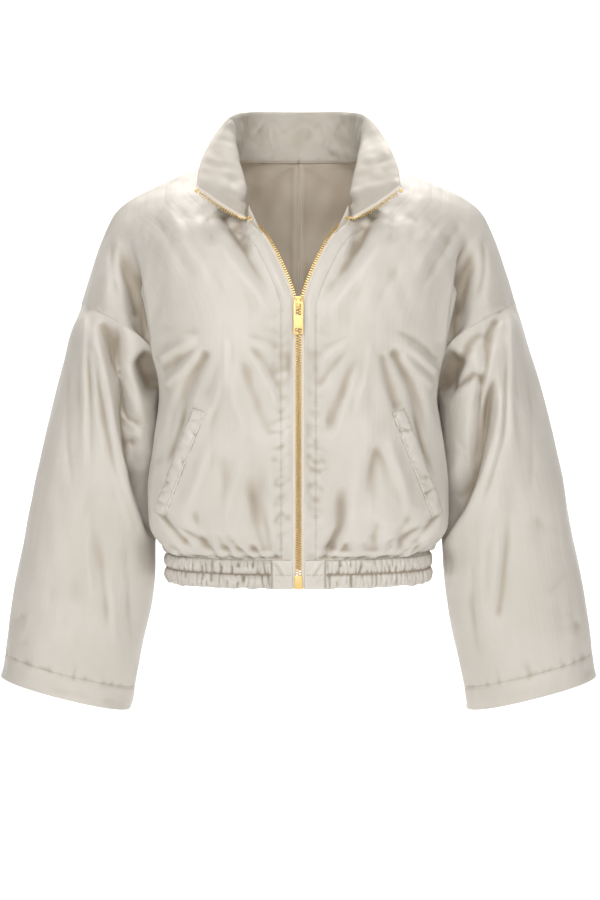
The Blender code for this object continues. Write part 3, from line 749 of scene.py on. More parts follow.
class JacketForm:
    """Base forms of the panels, sleeves and collar on the wearer's left."""

    rounding = 6

    def __init__(self) -> None:
        """Read the tables and lay out the grids, whose seams share their points."""
        rows = {side: self.controls(side) for side in (-1, 1)}
        both = np.stack(list(rows.values()))
        across, down = travelled(both, 2), travelled(both, 1)
        corner, armpit = list(FRONT_ROWS).index("neck corner"), len(FRONT_ROWS)
        parts = np.diff(down[[0, corner, armpit, -1]])
        upper = divided(parts[0], PANEL_PITCH[1], last=False)
        middle = divided(parts[1], PANEL_PITCH[1], first=False, last=False) + parts[0]
        lower = divided(parts[2], PANEL_PITCH[1], first=False) + parts[0] + parts[1]
        self.down = np.concatenate([upper, middle[1:], lower[1:]])
        self.neck = len(upper) - 1
        self.underarm = self.neck + len(middle) - 1
        beside_zip = divided(*ZIP_SIDE, last=False)
        further = ZIP_SIDE[0] + divided(across[-1] - ZIP_SIDE[0], PANEL_PITCH[0], first=False)
        self.across = np.concatenate([beside_zip, further[1:]])
        self.front = Cloth(self.grid(rows[-1], across, down))
        self.back = Cloth(self.grid(rows[1], across, down), turn=-1)
        self.sleeve = Cloth(self.sleeve_grid(), turn=-1, closed=True)
        self.collar = Cloth(self.collar_grid(), turn=-1)
        self.join()

    def controls(self, side: int) -> Grid:
        """Control points of a panel, from the shoulder to the band.

        Args:
            side: -1 for the front, 1 for the back.

        Returns:
            Rows of points, from the middle to the side.
        """
        table = FRONT_ROWS if side < 0 else BACK_ROWS
        rows = [np.array(points, dtype=float) for points in table.values()]
        angles = np.radians(COLUMN_ANGLES)
        for height, width, front, back, roundness, pressed in BODY_SECTIONS:
            x = width * np.abs(np.cos(angles)) ** (2 / roundness)
            x -= pressed * np.exp(-(np.array(COLUMN_ANGLES) / PRESS_SPREAD) ** 2)
            x[0] = ZIP_EDGE if side < 0 else 0.0
            y = side * (front if side < 0 else back) * np.abs(np.sin(angles)) ** (2 / roundness)
            rows.append(np.stack([x, y, np.full_like(x, height)], axis=1))
        return np.stack(rows)

    def grid(self, controls: Grid, across: Grid, down: Grid) -> Grid:
        """Fine, rounded grid of one body panel.

        Args:
            controls: Its control points.
            across: Distance of each column of them from the middle.
            down: Distance of each row from the shoulder.

        Returns:
            Grid of points.
        """
        even_across = np.linspace(0, across[-1], round(across[-1] / FORM_PITCH))
        even_down = np.linspace(0, down[-1], round(down[-1] / FORM_PITCH))
        even_down = np.unique(np.concatenate([even_down, self.down[[self.neck, self.underarm]]]))
        wide = through(across, controls.transpose(1, 0, 2), even_across).transpose(1, 0, 2)
        rounded = relax(through(down, wide, even_down), self.rounding)
        wide = through(even_across, rounded.transpose(1, 0, 2), self.across).transpose(1, 0, 2)
        return through(even_down, wide, self.down)

    def sleeve_grid(self) -> Grid:
        """Fine, rounded grid of the sleeve.

        Returns:
            Grid of points, whose first row is the armhole.
        """
        front, back, last = self.front.points, self.back.points, self.underarm
        ring = np.concatenate([front[:last + 1, -1], back[last - 1:0:-1, -1]])
        top, low = ring[0], ring[last]
        half = (top - low) / 2
        along = (ring - (top + low) / 2) @ half / (half @ half)
        angles = np.arctan2(-ring[:, 1] / np.abs(ring[:, 1]).max(), along)
        rings = [ring]
        power = 2 / SLEEVE_ROUND
        cosine, sine = np.cos(angles), np.sin(angles)
        along = np.sign(cosine) * np.abs(cosine) ** power
        for (outer_x, outer_z), (inner_x, inner_z), depth in SLEEVE_RINGS:
            x = (outer_x + inner_x) / 2 + (outer_x - inner_x) / 2 * along
            z = (outer_z + inner_z) / 2 + (outer_z - inner_z) / 2 * along
            rings.append(np.stack([x, -depth * np.sign(sine) * np.abs(sine) ** power, z], axis=1))
        rings = np.stack(rings)
        knots = travelled(rings)
        even = np.linspace(0, knots[-1], round(knots[-1] / FORM_PITCH))
        rounded = relax(through(knots, rings, even), self.rounding, closed=True)
        return through(even, rounded, divided(knots[-1], SLEEVE_PITCH))

    def collar_grid(self) -> Grid:
        """Fine grid of the collar.

        Returns:
            Grid of points, seam row first, from the left front edge round to the right one.
        """
        front, back = self.front.points[self.neck::-1, 0], self.back.points[1:self.neck + 1, 0]
        share = self.down[:self.neck + 1] / self.down[self.neck]
        seam = np.concatenate([front, back])
        stations = len(COLLAR_STATIONS) - 1
        place = np.concatenate([SHOULDER_STATION * (1 - share[::-1]),
                                SHOULDER_STATION + (stations - SHOULDER_STATION) * share[1:]])
        knots = travelled(seam)
        at = divided(knots[-1], COLLAR_PITCH, last=False)
        seam, place = through(knots, seam, at), np.interp(at, knots, place)
        shoulder = int(np.searchsorted(place, SHOULDER_STATION))
        self.binding = slice(shoulder, 2 * len(at) - 1 - shoulder)
        shape = through(np.arange(stations + 1), np.array(COLLAR_STATIONS, dtype=float), place)
        profile = np.stack([seam, shape[:, 0], shape[:, 1]])
        heights = np.linspace(0, COLLAR_HEIGHT, COLLAR_ROWS)
        even = relax(through((0, 1, 2), profile, np.linspace(0, 2, COLLAR_ROWS)), 3)
        (beside, above), (wide, tall) = BULGE_PLACE, BULGE_SPREAD
        bulge = np.exp(-((at - beside) / wide) ** 2) * np.exp(-((heights[:, None] - above) / tall) ** 2)
        bulge *= ease(0.0, 5.0, heights)[:, None] * ease(0.0, 6.0, at)
        even[..., 0] -= FOOT_BULGE * bulge
        grid = through(heights, even, divided(COLLAR_HEIGHT, COLLAR_PITCH))
        return np.concatenate([grid, Side.RIGHT.turn(grid)[:, -2::-1]], axis=1)

    def join(self) -> None:
        """Sew the armhole, so that both pieces lean the same way there, and open every seam by a hair."""
        last, ring = self.underarm, self.sleeve.points.shape[1]
        front_rows, back_rows = np.arange(0, last + 1), np.arange(1, last)
        back_ring = ring - back_rows
        sew(self.front, self.sleeve, (front_rows, -1), (0, front_rows), (front_rows, -4), (4, front_rows))
        sew(self.back, self.sleeve, (back_rows, -1), (0, back_ring), (back_rows, -4), (4, back_ring))
        self.back.cuts[0, -1] = self.front.cuts[0, -1]
        self.sleeve.cuts[:SEAM_BLEND] = self.sleeve.cuts[:1]
        for cloth in (self.front, self.back):
            cloth.cuts[:last + 1, -SEAM_BLEND:] = cloth.cuts[:last + 1, -1:]
            part(cloth.points[:, ::-1].swapaxes(0, 1))
            part(cloth.points)
            cloth.cuts[-SEAM_BLEND:, :, 2] = 0.0
            cloth.cuts[-SEAM_BLEND:] = unit(cloth.cuts[-SEAM_BLEND:])
        part(self.sleeve.points)
        self.back.points[self.neck:, 0, 0] = 0.01


# ---- finishes

class Tree:
    """A node tree that takes each node with its settings and links at once."""

    def __init__(self, tree: bpy.types.NodeTree) -> None:
        """Keep the tree that is filled."""
        self.tree = tree

    def add(self, kind: str, sockets: dict | None = None, **settings: object) -> bpy.types.Node:
        """Add a node.

        Args:
            kind: Type of the node.
            sockets: Value, or the socket it is linked to, of each input.
            settings: The node's own settings.

        Returns:
            The node.
        """
        node = self.tree.nodes.new(kind)
        for name, value in settings.items():
            setattr(node, name, value)
        for key, value in (sockets or {}).items():
            if isinstance(value, Socket):
                self.tree.links.new(value, node.inputs[key])
            else:
                node.inputs[key].default_value = value
        return node

    def link(self, output: Socket, target: Socket) -> None:
        """Link an output to an input."""
        self.tree.links.new(output, target)


def surface(name: str) -> tuple[Finish, Tree, bpy.types.Node]:
    """Start a material.

    Args:
        name: Its name.

    Returns:
        The material, its node tree and its shader.
    """
    material = bpy.data.materials.new(name)
    material.use_nodes = True
    return material, Tree(material.node_tree), material.node_tree.nodes["Principled BSDF"]


@dataclass(frozen=True)
class Satin:
    """Woven satin with a soft gloss, fine warp streaks and hardly visible crinkles.

    Attributes:
        name: Name of the material.
        light: Colour of its lighter clouds.
        dark: Colour of its darker clouds.
        roughness: Roughness of the gloss.
        crinkle: Height of the crinkles.
        gloss: Share of the light that the threads mirror.
        streak: Height of the streaks along the warp.
        thread: Height of the threads.
    """

    name: str
    light: Triple
    dark: Triple
    roughness: float = 0.52
    crinkle: float = 2.6
    gloss: float = 0.12
    streak: float = 0.8
    thread: float = 0.04

    def material(self) -> Finish:
        """Build the material.

        Returns:
            The material.
        """
        material, tree, shader = surface(self.name)
        place = tree.add("ShaderNodeTexCoord").outputs["Object"]
        noise = tree.add("ShaderNodeTexNoise", {"Vector": place, "Scale": 11.0, "Detail": 3.0})
        cloud = noise.outputs["Fac"]
        tree.link(self.colour(tree, cloud), shader.inputs["Base Color"])
        tree.link(self.bumps(tree, place, cloud), shader.inputs["Normal"])
        for name, value in (("Roughness", self.roughness), ("Metallic", self.gloss),
                            ("Specular IOR Level", 0.6), ("Sheen Weight", 0.12), ("Sheen Roughness", 0.45)):
            shader.inputs[name].default_value = value
        return material

    def colour(self, tree: Tree, cloud: Socket) -> Socket:
        """Colour of the cloth, with painted shade where the fold attribute says that it sinks in and painted
        light where it stands out.

        Args:
            tree: The material's tree.
            cloud: Soft clouds of 0 to 1.

        Returns:
            The colour's socket.
        """
        clouds = tree.add("ShaderNodeValToRGB", {"Fac": cloud})
        for stop, position, colour in zip(clouds.color_ramp.elements, (0.35, 0.65), (self.dark, self.light)):
            stop.position = position
            stop.color = (*colour, 1.0)
        # Painted shade: the fold attribute darkens the colour in hollows, down to a deep warm brown, and
        # lightens it a little on ridges.
        fold = tree.add("ShaderNodeAttribute", attribute_name="fold", attribute_type="GEOMETRY")
        low, high = PAINTED_SHADE_RANGE
        limits = {"Value": fold.outputs["Fac"], "From Min": low, "From Max": high}
        share = tree.add("ShaderNodeMapRange", limits)
        tones = tree.add("ShaderNodeValToRGB", {"Fac": share.outputs["Result"]})
        tones.color_ramp.elements[0].color = (0.56, 0.505, 0.43, 1.0)
        tones.color_ramp.elements[1].color = (1.0, 1.0, 1.0, 1.0)
        for position, colour in ((0.36, (0.80, 0.765, 0.715, 1.0)), (0.6, (0.95, 0.947, 0.94, 1.0))):
            tones.color_ramp.elements.new(position).color = colour
        mixed = tree.add("ShaderNodeMix", {"Factor": 1.0}, data_type="RGBA", blend_type="MULTIPLY")
        tree.link(clouds.outputs["Color"], mixed.inputs[6])
        tree.link(tones.outputs["Color"], mixed.inputs[7])
        return mixed.outputs[2]

    def bumps(self, tree: Tree, place: Socket, cloud: Socket) -> Socket:
        """Streaks and fine threads along the warp, with crinkles between them where the clouds are light.

        Args:
            tree: The material's tree.
            place: Object coordinates.
            cloud: Soft clouds of 0 to 1.

        Returns:
            The normal's socket.
        """
        cloth = tree.add("ShaderNodeUVMap", uv_map="cloth").outputs["UV"]
        look = {"Vector": place, "Scale": 30.0, "Detail": 4.0, "Distortion": 0.6}
        crease = tree.add("ShaderNodeTexNoise", look, noise_type="RIDGED_MULTIFRACTAL")
        where = tree.add("ShaderNodeMapRange", {"Value": cloud, "From Min": 0.4, "From Max": 0.65})
        crinkles = tree.add("ShaderNodeMath", {0: crease.outputs["Fac"], 1: where.outputs["Result"]},
                            operation="MULTIPLY")
        heights = []
        for scale, detail in (((95.0, 6.0, 1.0), 3.0), ((1500.0, 45.0, 1.0), 2.0)):
            drawn = tree.add("ShaderNodeMapping", {"Vector": cloth, "Scale": scale}).outputs["Vector"]
            lines = tree.add("ShaderNodeTexNoise", {"Vector": drawn, "Scale": 1.0, "Detail": detail})
            heights.append(lines.outputs["Fac"])
        heights.insert(1, crinkles.outputs["Value"])
        below = {}
        for height, distance in zip(heights, (self.streak, self.crinkle, self.thread)):
            bump = tree.add("ShaderNodeBump", {"Height": height, "Distance": distance * MM, **below})
            below = {"Normal": bump.outputs["Normal"]}
        return below["Normal"]


@dataclass(frozen=True)
class Plain:
    """Plain finish, with or without a fine grain: the metal, tape, thread and backdrop.

    Attributes:
        name: Name of the material.
        colour: Its colour.
        roughness: Its roughness.
        metallic: 1 for metal.
        grain: Scale and height of the grain; 0 high for none.
    """

    name: str
    colour: Triple
    roughness: float
    metallic: float = 0.0
    grain: Pair = (900.0, 0.0)

    def material(self) -> Finish:
        """Build the material.

        Returns:
            The material.
        """
        material, tree, shader = surface(self.name)
        for name, value in (("Base Color", (*self.colour, 1.0)), ("Roughness", self.roughness),
                            ("Metallic", self.metallic)):
            shader.inputs[name].default_value = value
        scale, height = self.grain
        if height:
            place = tree.add("ShaderNodeTexCoord").outputs["Object"]
            noise = tree.add("ShaderNodeTexNoise", {"Vector": place, "Scale": scale, "Detail": 2.0})
            bump = tree.add("ShaderNodeBump", {"Height": noise.outputs["Fac"], "Distance": height * MM})
            tree.link(bump.outputs["Normal"], shader.inputs["Normal"])
        return material


# ---- where the folds lie

trough, ridge, hollow, lap = (kind.lay for kind in FoldKind)

# Distance from the centre (positive on the wearer's left) and height, as the front of the jacket shows them.
FRONT_FOLDS = (
    trough(9, (10, 5), (-84, -46), (-68, -78), (-44, -122), (-17, -158), fade=(0.02, 0.75)),
    ridge(2, (10, 5), (-97, -60), (-80, -92), (-56, -130), (-28, -166)),
    hollow(5, (9, 4), (-68, -64), (-60, -84), (-50, -104), fade=(0, 0.5)),
    trough(2.4, (8, 6), (-106, -46), (-98, -72), (-94, -92)),
    ridge(1.1, (5, 8), (-150, -38), (-128, -78), (-100, -122), (-88, -150)),
    trough(1.3, (4, 6), (-166, -46), (-142, -86), (-112, -130)),
    trough(0.9, (4, 6), (-130, -50), (-108, -100), (-78, -150)),
    lap(7, (12, 10), (-190, -64), (-179, -98), (-170, -145), (-163, -196), fade=(0.5, 0.02)),
    trough(1, (5, 7), (-158, -176), (-132, -182), (-104, -186), fade=(0.1, 0.4)),
    ridge(3.2, (4, 6), (-158, -216), (-130, -200), (-104, -190), fade=(0.1, 0.4)),
    trough(1.8, (5, 7), (-155, -228), (-128, -212), (-108, -204), fade=(0.1, 0.3)),
    ridge(3.2, (4, 5), (-150, -244), (-124, -222), (-104, -200), fade=(0.1, 0.3)),
    hollow(3.4, (8, 16), (-104, -210), (-124, -250), (-142, -300), (-156, -350), fade=(0, 0.3)),
    trough(3, (5, 7), (-125, -262), (-138, -300), (-152, -338)),
    ridge(1.8, (2.4, 4), (-80, -190), (-80, -220), (-82, -262), fade=(0.15, 0.4)),
    ridge(1.5, (2.4, 4), (-84, -222), (-92, -258), (-106, -290)),
    trough(1, (5, 6), (-88, -214), (-97, -244), (-108, -262)),
    ridge(1.4, (2.6, 5), (-77, -226), (-70, -262), (-54, -302)),
    trough(2.4, (6, 10), (-66, -204), (-52, -246), (-30, -306), fade=(0.25, 0.2)),
    ridge(2, (3, 4), (-62, -200), (-42, -226), (-20, -268), fade=(0.3, 0.1)),
    trough(1.4, (3.4, 4.4), (-58, -197), (-40, -216), (-20, -244), fade=(0.3, 0.1)),
    ridge(1.4, (2.6, 3), (-58, -193), (-38, -202), (-20, -218), fade=(0.3, 0.1)),
    trough(1, (3, 3.4), (-60, -188), (-38, -192), (-20, -200), fade=(0.3, 0.1)),
    trough(0.8, (3, 3.4), (-50, -178), (-20, -185), fade=(0.4, 0.1)),
    trough(0.6, (3, 3.4), (-44, -169), (-20, -172), fade=(0.4, 0.1)),
    ridge(1, (4, 5), (-26, -330), (-30, -352), (-24, -372)),
    trough(4.4, (12, 7), (-57, -336), (-50, -374), (-38, -430), fade=(0.35, 0.02)),
    trough(2.6, (2.6, 3), (-43, -362), (-37, -392), (-30, -431), fade=(0.6, 0.02)),
    ridge(1.2, (3, 3), (-36, -352), (-31, -384), (-24, -424), fade=(0.3, 0.1)),
    trough(4, (10, 7), (-118, -372), (-111, -402), (-104, -430), fade=(0.35, 0.02)),
    trough(2.4, (2.6, 3), (-107, -390), (-101, -408), (-97, -431), fade=(0.5, 0.02)),
    trough(3, (5, 8), (-93, -402), (-86, -430), fade=(0.4, 0.02)),
    trough(2.2, (2.4, 2.8), (-88, -412), (-80, -431), fade=(0.5, 0.02)),
    trough(4.6, (7, 12), (48, -346), (46, -384), (36, -430), fade=(0.35, 0.02)),
    trough(3, (2.6, 3.2), (51, -374), (44, -402), (32, -431), fade=(0.6, 0.02)),
    ridge(1.4, (3, 3), (60, -372), (54, -402), (44, -430), fade=(0.4, 0.1)),
    trough(3.4, (7, 9), (88, -382), (84, -430), fade=(0.4, 0.02)),
    trough(2.2, (2.4, 2.8), (82, -398), (79, -431), fade=(0.5, 0.02)),
    trough(4, (7, 10), (126, -376), (119, -404), (114, -430), fade=(0.35, 0.02)),
    trough(2.6, (2.6, 3), (118, -388), (113, -408), (112, -431), fade=(0.5, 0.02)),
    hollow(1.6, (12, 26), (86, -314), (88, -346), (92, -390), fade=(0, 0.4)),
    ridge(1.3, (3, 4), (-64, -318), (-72, -360), (-84, -404)),
    ridge(1.2, (3, 4), (-30, -318), (-34, -340), (-26, -368)),
    ridge(1.2, (3, 4), (112, -330), (118, -366), (122, -396)),
    ridge(1, (2.6, 4), (62, -330), (60, -366), (58, -404)),
    lap(2, (6, 6), (-84, -431), (-78, -408), (-70, -410), (-62, -431), fade=(0.1, 0.1)),
    lap(2.4, (4, 4), (-72, -431), (-66, -421), (-60, -431), fade=(0.1, 0.1)),
    lap(2.8, (4, 4), (-56, -430), (-52, -418), (-46, -420), (-43, -431), fade=(0.2, 0.05)),
    lap(5.5, (8, 6), (-128, -428), (-148, -405), (-165, -384), fade=(0.05, 0.3)),
    lap(4.5, (7, 5), (-107, -429), (-124, -414), (-140, -404), fade=(0.05, 0.4)),
    ridge(1.8, (4, 6), (-96, -300), (-106, -330), (-124, -384)),
    trough(1.4, (6, 8), (-84, -310), (-82, -352), (-86, -384)),
    trough(9, (10, 5), (84, -48), (65, -88), (46, -120), (21, -155), fade=(0.02, 0.75)),
    ridge(2, (10, 5), (98, -60), (82, -95), (58, -132), (30, -168)),
    hollow(5, (9, 4), (70, -64), (62, -86), (52, -106), fade=(0, 0.5)),
    trough(2.4, (8, 6), (107, -46), (103, -70), (99, -90)),
    trough(1.4, (4, 6), (190, -50), (172, -78), (155, -107), (128, -147)),
    ridge(1.2, (4, 7), (172, -52), (146, -92), (118, -136)),
    trough(0.9, (4, 6), (139, -48), (112, -107), (83, -160)),
    lap(7, (10, 12), (163, -196), (169, -145), (177, -100), (190, -64), fade=(0.02, 0.5)),
    trough(1.8, (4, 6), (158, -218), (134, -196), (106, -182), fade=(0.1, 0.2)),
    ridge(3.4, (4, 6), (156, -232), (124, -204), (92, -187), fade=(0.1, 0.4)),
    ridge(2.6, (4, 5), (150, -246), (128, -226), (108, -206), fade=(0.1, 0.3)),
    hollow(4.2, (6, 14), (106, -208), (126, -246), (143, -300), (158, -350), fade=(0, 0.3)),
    trough(3.6, (5, 8), (126, -262), (140, -306), (156, -350)),
    lap(2.4, (10, 9), (104, -276), (92, -240), (84, -204), fade=(0.1, 0.15)),
    ridge(1.4, (2.4, 4), (80, -192), (76, -226), (60, -286), fade=(0.15, 0.4)),
    trough(2.4, (6, 10), (64, -204), (50, -246), (26, -300), fade=(0.25, 0.2)),
    ridge(1.6, (3, 4), (66, -216), (52, -262), (32, -318)),
    trough(1.4, (3.4, 4.4), (60, -197), (42, -218), (20, -246), fade=(0.3, 0.1)),
    ridge(1.4, (2.6, 3), (60, -192), (40, -206), (20, -224), fade=(0.3, 0.1)),
    trough(1, (3, 3.4), (60, -188), (40, -196), (20, -206), fade=(0.3, 0.1)),
    trough(0.8, (3, 3.4), (52, -183), (20, -190), fade=(0.4, 0.1)),
    trough(0.6, (3, 3.4), (44, -175), (20, -178), fade=(0.4, 0.1)),
    lap(2, (12, 14), (64, -384), (72, -330), (84, -306), (96, -316), (112, -366), fade=(0.4, 0.4)),
    lap(2.6, (4, 4), (66, -431), (69, -417), (75, -417), (80, -431), fade=(0.1, 0.1)),
    trough(3, (4, 3), (44, -398), (38, -414), (32, -431), fade=(0.4, 0.03)),
    lap(2.4, (4, 4), (128, -431), (132, -418), (140, -412), fade=(0.05, 0.4)),
    lap(2.8, (4, 4), (45, -431), (48, -418), (54, -416), (59, -431), fade=(0.1, 0.1)),
    ridge(1.2, (3, 4), (62, -392), (60, -412), (62, -430)),
    lap(3, (4, 5), (97, -431), (100, -414), (107, -412), (110, -427), fade=(0.1, 0.1)),
    lap(5.5, (6, 8), (165, -384), (150, -405), (130, -427), fade=(0.3, 0.05)),
    lap(4, (5, 7), (146, -402), (132, -412), (118, -428), fade=(0.4, 0.05)),
    ridge(1.8, (4, 6), (96, -290), (108, -330), (130, -392)),
    trough(2.6, (3, 4), (-214, -72), (-211, -113), (-198, -150)),
    trough(3, (4, 5), (-205, -88), (-194, -126), (-178, -166), fade=(0.3, 0.05)),
    trough(2.6, (3, 4), (211, -65), (211, -103), (196, -154)),
    trough(2.6, (3, 4), (198, -92), (186, -138), (180, -172)),
    trough(3, (4, 5), (193, -70), (184, -105), (174, -168), fade=(0.3, 0.1)),
)
# The back isn't in view: drapes from the shoulders and underarms, and the same fullness above the band.
BACK_FOLDS = (
    trough(4, (6, 5), (-150, -46), (-118, -96), (-88, -150)),
    ridge(3, (7, 7), (-128, -40), (-96, -92), (-64, -150)),
    trough(3.4, (6, 6), (142, -48), (108, -104), (86, -168)),
    ridge(3, (8, 7), (118, -44), (84, -100), (58, -160)),
    trough(3.6, (5, 10), (-152, -262), (-116, -222), (-66, -206), fade=(0.1, 0.5)),
    ridge(4, (5, 10), (-150, -244), (-112, -206), (-70, -192), fade=(0.1, 0.5)),
    trough(3.6, (5, 10), (151, -258), (112, -214), (62, -196), fade=(0.1, 0.5)),
    ridge(4, (5, 9), (149, -240), (114, -202), (74, -182), fade=(0.1, 0.5)),
    lap(4.5, (10, 12), (-122, -262), (-130, -318), (-118, -376)),
    lap(4, (10, 11), (110, -384), (118, -322), (102, -268)),
    trough(3, (9, 8), (-44, -226), (-54, -300), (-40, -352)),
    trough(3, (8, 8), (52, -240), (42, -310), (54, -364)),
    hollow(5.5, (9, 11), (-130, -384), (-122, -408), (-110, -432), fade=(0, 0.03)),
    hollow(5, (8, 10), (-78, -392), (-70, -432), fade=(0, 0.03)),
    hollow(4.5, (7, 9), (-30, -402), (-25, -432), fade=(0, 0.03)),
    hollow(5, (8, 10), (30, -386), (25, -408), (18, -432), fade=(0, 0.03)),
    hollow(5.5, (9, 12), (86, -380), (78, -404), (68, -432), fade=(0, 0.03)),
    hollow(5, (8, 9), (134, -392), (126, -412), (112, -432), fade=(0, 0.03)),
    trough(3, (3, 4), (-212, -74), (-208, -114), (-196, -150)),
    trough(3, (3, 4), (206, -70), (200, -112), (184, -160)),
    trough(3, (4, 5), (-192, -86), (-182, -130), (-174, -168)),
)
SLEEVE_FRONT_FOLDS = (
    trough(17, (17, 9), (-176, -202), (-164, -230), (-154, -262)),
    lap(18, (11, 13), (-163, -428), (-177, -388), (-192, -346), (-204, -294), (-213, -236), (-222, -196),
        (-232, -166), fade=(0.12, 0.15)),
    ridge(3, (10, 13), (-246, -190), (-238, -250), (-226, -320), (-206, -384)),
    ridge(1.5, (2.6, 3), (-224, -196), (-218, -246), (-206, -316), (-194, -368)),
    trough(1.4, (2.6, 3), (-228, -200), (-222, -250), (-210, -320), (-198, -372)),
    ridge(1.3, (2.6, 4), (-212, -330), (-200, -372), (-186, -420)),
    ridge(2, (3, 4), (-200, -244), (-190, -270), (-174, -300)),
    trough(2.2, (3, 3), (-202, -292), (-188, -286), (-170, -294)),
    trough(2, (3, 3), (-196, -318), (-184, -310), (-172, -312)),
    ridge(1.8, (3, 3), (-198, -306), (-186, -300), (-172, -304)),
    ridge(1.2, (3, 4), (-238, -380), (-236, -440), (-232, -500)),
    trough(1.2, (3, 4), (-196, -400), (-194, -452), (-192, -520)),
    hollow(12, (14, 10), (-184, -330), (-174, -376), (-164, -420), fade=(0.3, 0.2)),
    trough(4.5, (4, 5), (-209, -174), (-200, -204), (-192, -244)),
    trough(3.5, (4, 5), (-226, -170), (-214, -200), (-206, -244), fade=(0.1, 0.3)),
    lap(4.5, (5, 6), (-166, -296), (-186, -288), (-203, -262), (-206, -234), fade=(0.2, 0.1)),
    lap(3.4, (4, 5), (-205, -230), (-198, -226), (-188, -233), (-176, -262), fade=(0.1, 0.3)),
    trough(3.6, (4, 6), (-196, -236), (-188, -268), (-172, -290)),
    trough(3.6, (6, 5), (-184, -300), (-176, -328), (-168, -344)),
    ridge(2.6, (4, 5), (-204, -284), (-190, -300), (-178, -330)),
    ridge(2.8, (3.5, 5), (-240, -160), (-239, -250), (-241, -362), fade=(0.1, 0.5)),
    ridge(1.6, (3, 4), (-231, -190), (-228, -260), (-214, -340)),
    trough(1.6, (3, 4), (-235, -178), (-234, -250), (-232, -340)),
    trough(2.4, (7, 9), (-260, -190), (-262, -280), (-252, -380)),
    trough(2.2, (9, 7), (-228, -400), (-220, -460), (-214, -530), fade=(0.4, 0.3)),
    ridge(1.6, (4, 4), (-214, -452), (-209, -500), (-206, -548), fade=(0.4, 0.2)),
    trough(2, (8, 8), (-190, -440), (-190, -500), (-186, -560)),
    trough(1.6, (7, 7), (-326, -522), (-318, -506), (-302, -508)),
    ridge(1.4, (6, 6), (-316, -534), (-308, -516), (-304, -496)),
    trough(17, (17, 9), (177, -202), (165, -230), (155, -262)),
    lap(18, (11, 13), (226, -222), (221, -282), (209, -334), (196, -368), (180, -404), (164, -438),
        fade=(0.25, 0.1)),
    lap(6, (5, 5), (204, -250), (198, -237), (186, -243), (170, -256), fade=(0.25, 0.15)),
    lap(5, (5, 6), (216, -182), (194, -206), (180, -232), (168, -252), fade=(0.2, 0.1)),
    trough(4.5, (4, 5), (222, -178), (208, -196), (196, -204)),
    lap(4.5, (5, 6), (232, -168), (219, -188), (214, -216), (206, -286), fade=(0.1, 0.3)),
    trough(3.6, (4, 5), (227, -224), (222, -250), (211, -316)),
    ridge(3, (10, 12), (238, -250), (233, -320), (218, -380), (194, -442)),
    ridge(1.5, (2.6, 3), (228, -240), (224, -296), (213, -342), (198, -384)),
    trough(1.4, (2.6, 3), (232, -250), (228, -300), (217, -346), (202, -388)),
    ridge(1.8, (3, 3), (206, -184), (190, -212), (178, -244)),
    ridge(1.8, (3, 4), (192, -292), (186, -330), (184, -356)),
    trough(2, (3, 4), (204, -262), (200, -300), (192, -340)),
    ridge(1.2, (3, 4), (210, -400), (206, -450), (208, -510)),
    trough(1.2, (3, 4), (196, -430), (196, -480), (202, -540)),
    trough(6, (13, 10), (188, -286), (182, -344), (172, -404), fade=(0.4, 0.3)),
    trough(2.6, (3, 4), (200, -330), (188, -356), (168, -374), fade=(0.3, 0.1)),
    trough(2.6, (3, 4), (196, -352), (184, -384), (166, -404), fade=(0.3, 0.1)),
    ridge(2.6, (3.5, 5), (238, -160), (238, -250), (240, -340), fade=(0.1, 0.5)),
    trough(1.6, (3, 4), (234, -190), (232, -260), (228, -330)),
    trough(2.4, (7, 9), (258, -200), (266, -280), (262, -380)),
    trough(2.6, (5, 9), (224, -512), (233, -440), (238, -366), fade=(0.1, 0.5)),
    ridge(1.6, (4, 6), (214, -500), (224, -440), (228, -380), fade=(0.3, 0.5)),
    trough(2, (8, 8), (190, -460), (196, -520), (206, -560)),
    trough(1.2, (8, 8), (262, -390), (280, -404), (300, -408)),
    trough(1.2, (8, 8), (276, -480), (292, -470), (310, -450)),
    trough(1.8, (6, 7), (326, -524), (312, -514), (300, -528)),
    ridge(1.6, (5, 6), (318, -536), (308, -522), (306, -500)),
)
SLEEVE_BACK_FOLDS = (
    trough(15, (17, 9), (-176, -202), (-164, -230), (-155, -262)),
    lap(8, (11, 10), (-228, -176), (-218, -216), (-208, -282), (-190, -350), (-168, -420),
        fade=(0.2, 0.15)),
    ridge(2.6, (10, 13), (-246, -196), (-236, -270), (-216, -350)),
    trough(4, (5, 5), (-206, -182), (-190, -214), (-176, -254)),
    lap(3.4, (9, 10), (-238, -560), (-234, -470), (-246, -390), fade=(0.1, 0.5)),
    trough(15, (17, 9), (177, -202), (165, -230), (155, -262)),
    lap(8, (10, 11), (168, -424), (186, -372), (206, -300), (214, -224), (224, -180), fade=(0.15, 0.2)),
    ridge(2.6, (10, 12), (244, -220), (236, -300), (214, -372)),
    trough(4, (4, 5), (202, -186), (188, -218), (172, -256)),
    lap(3.4, (9, 9), (252, -396), (238, -470), (236, -560), fade=(0.5, 0.1)),
)
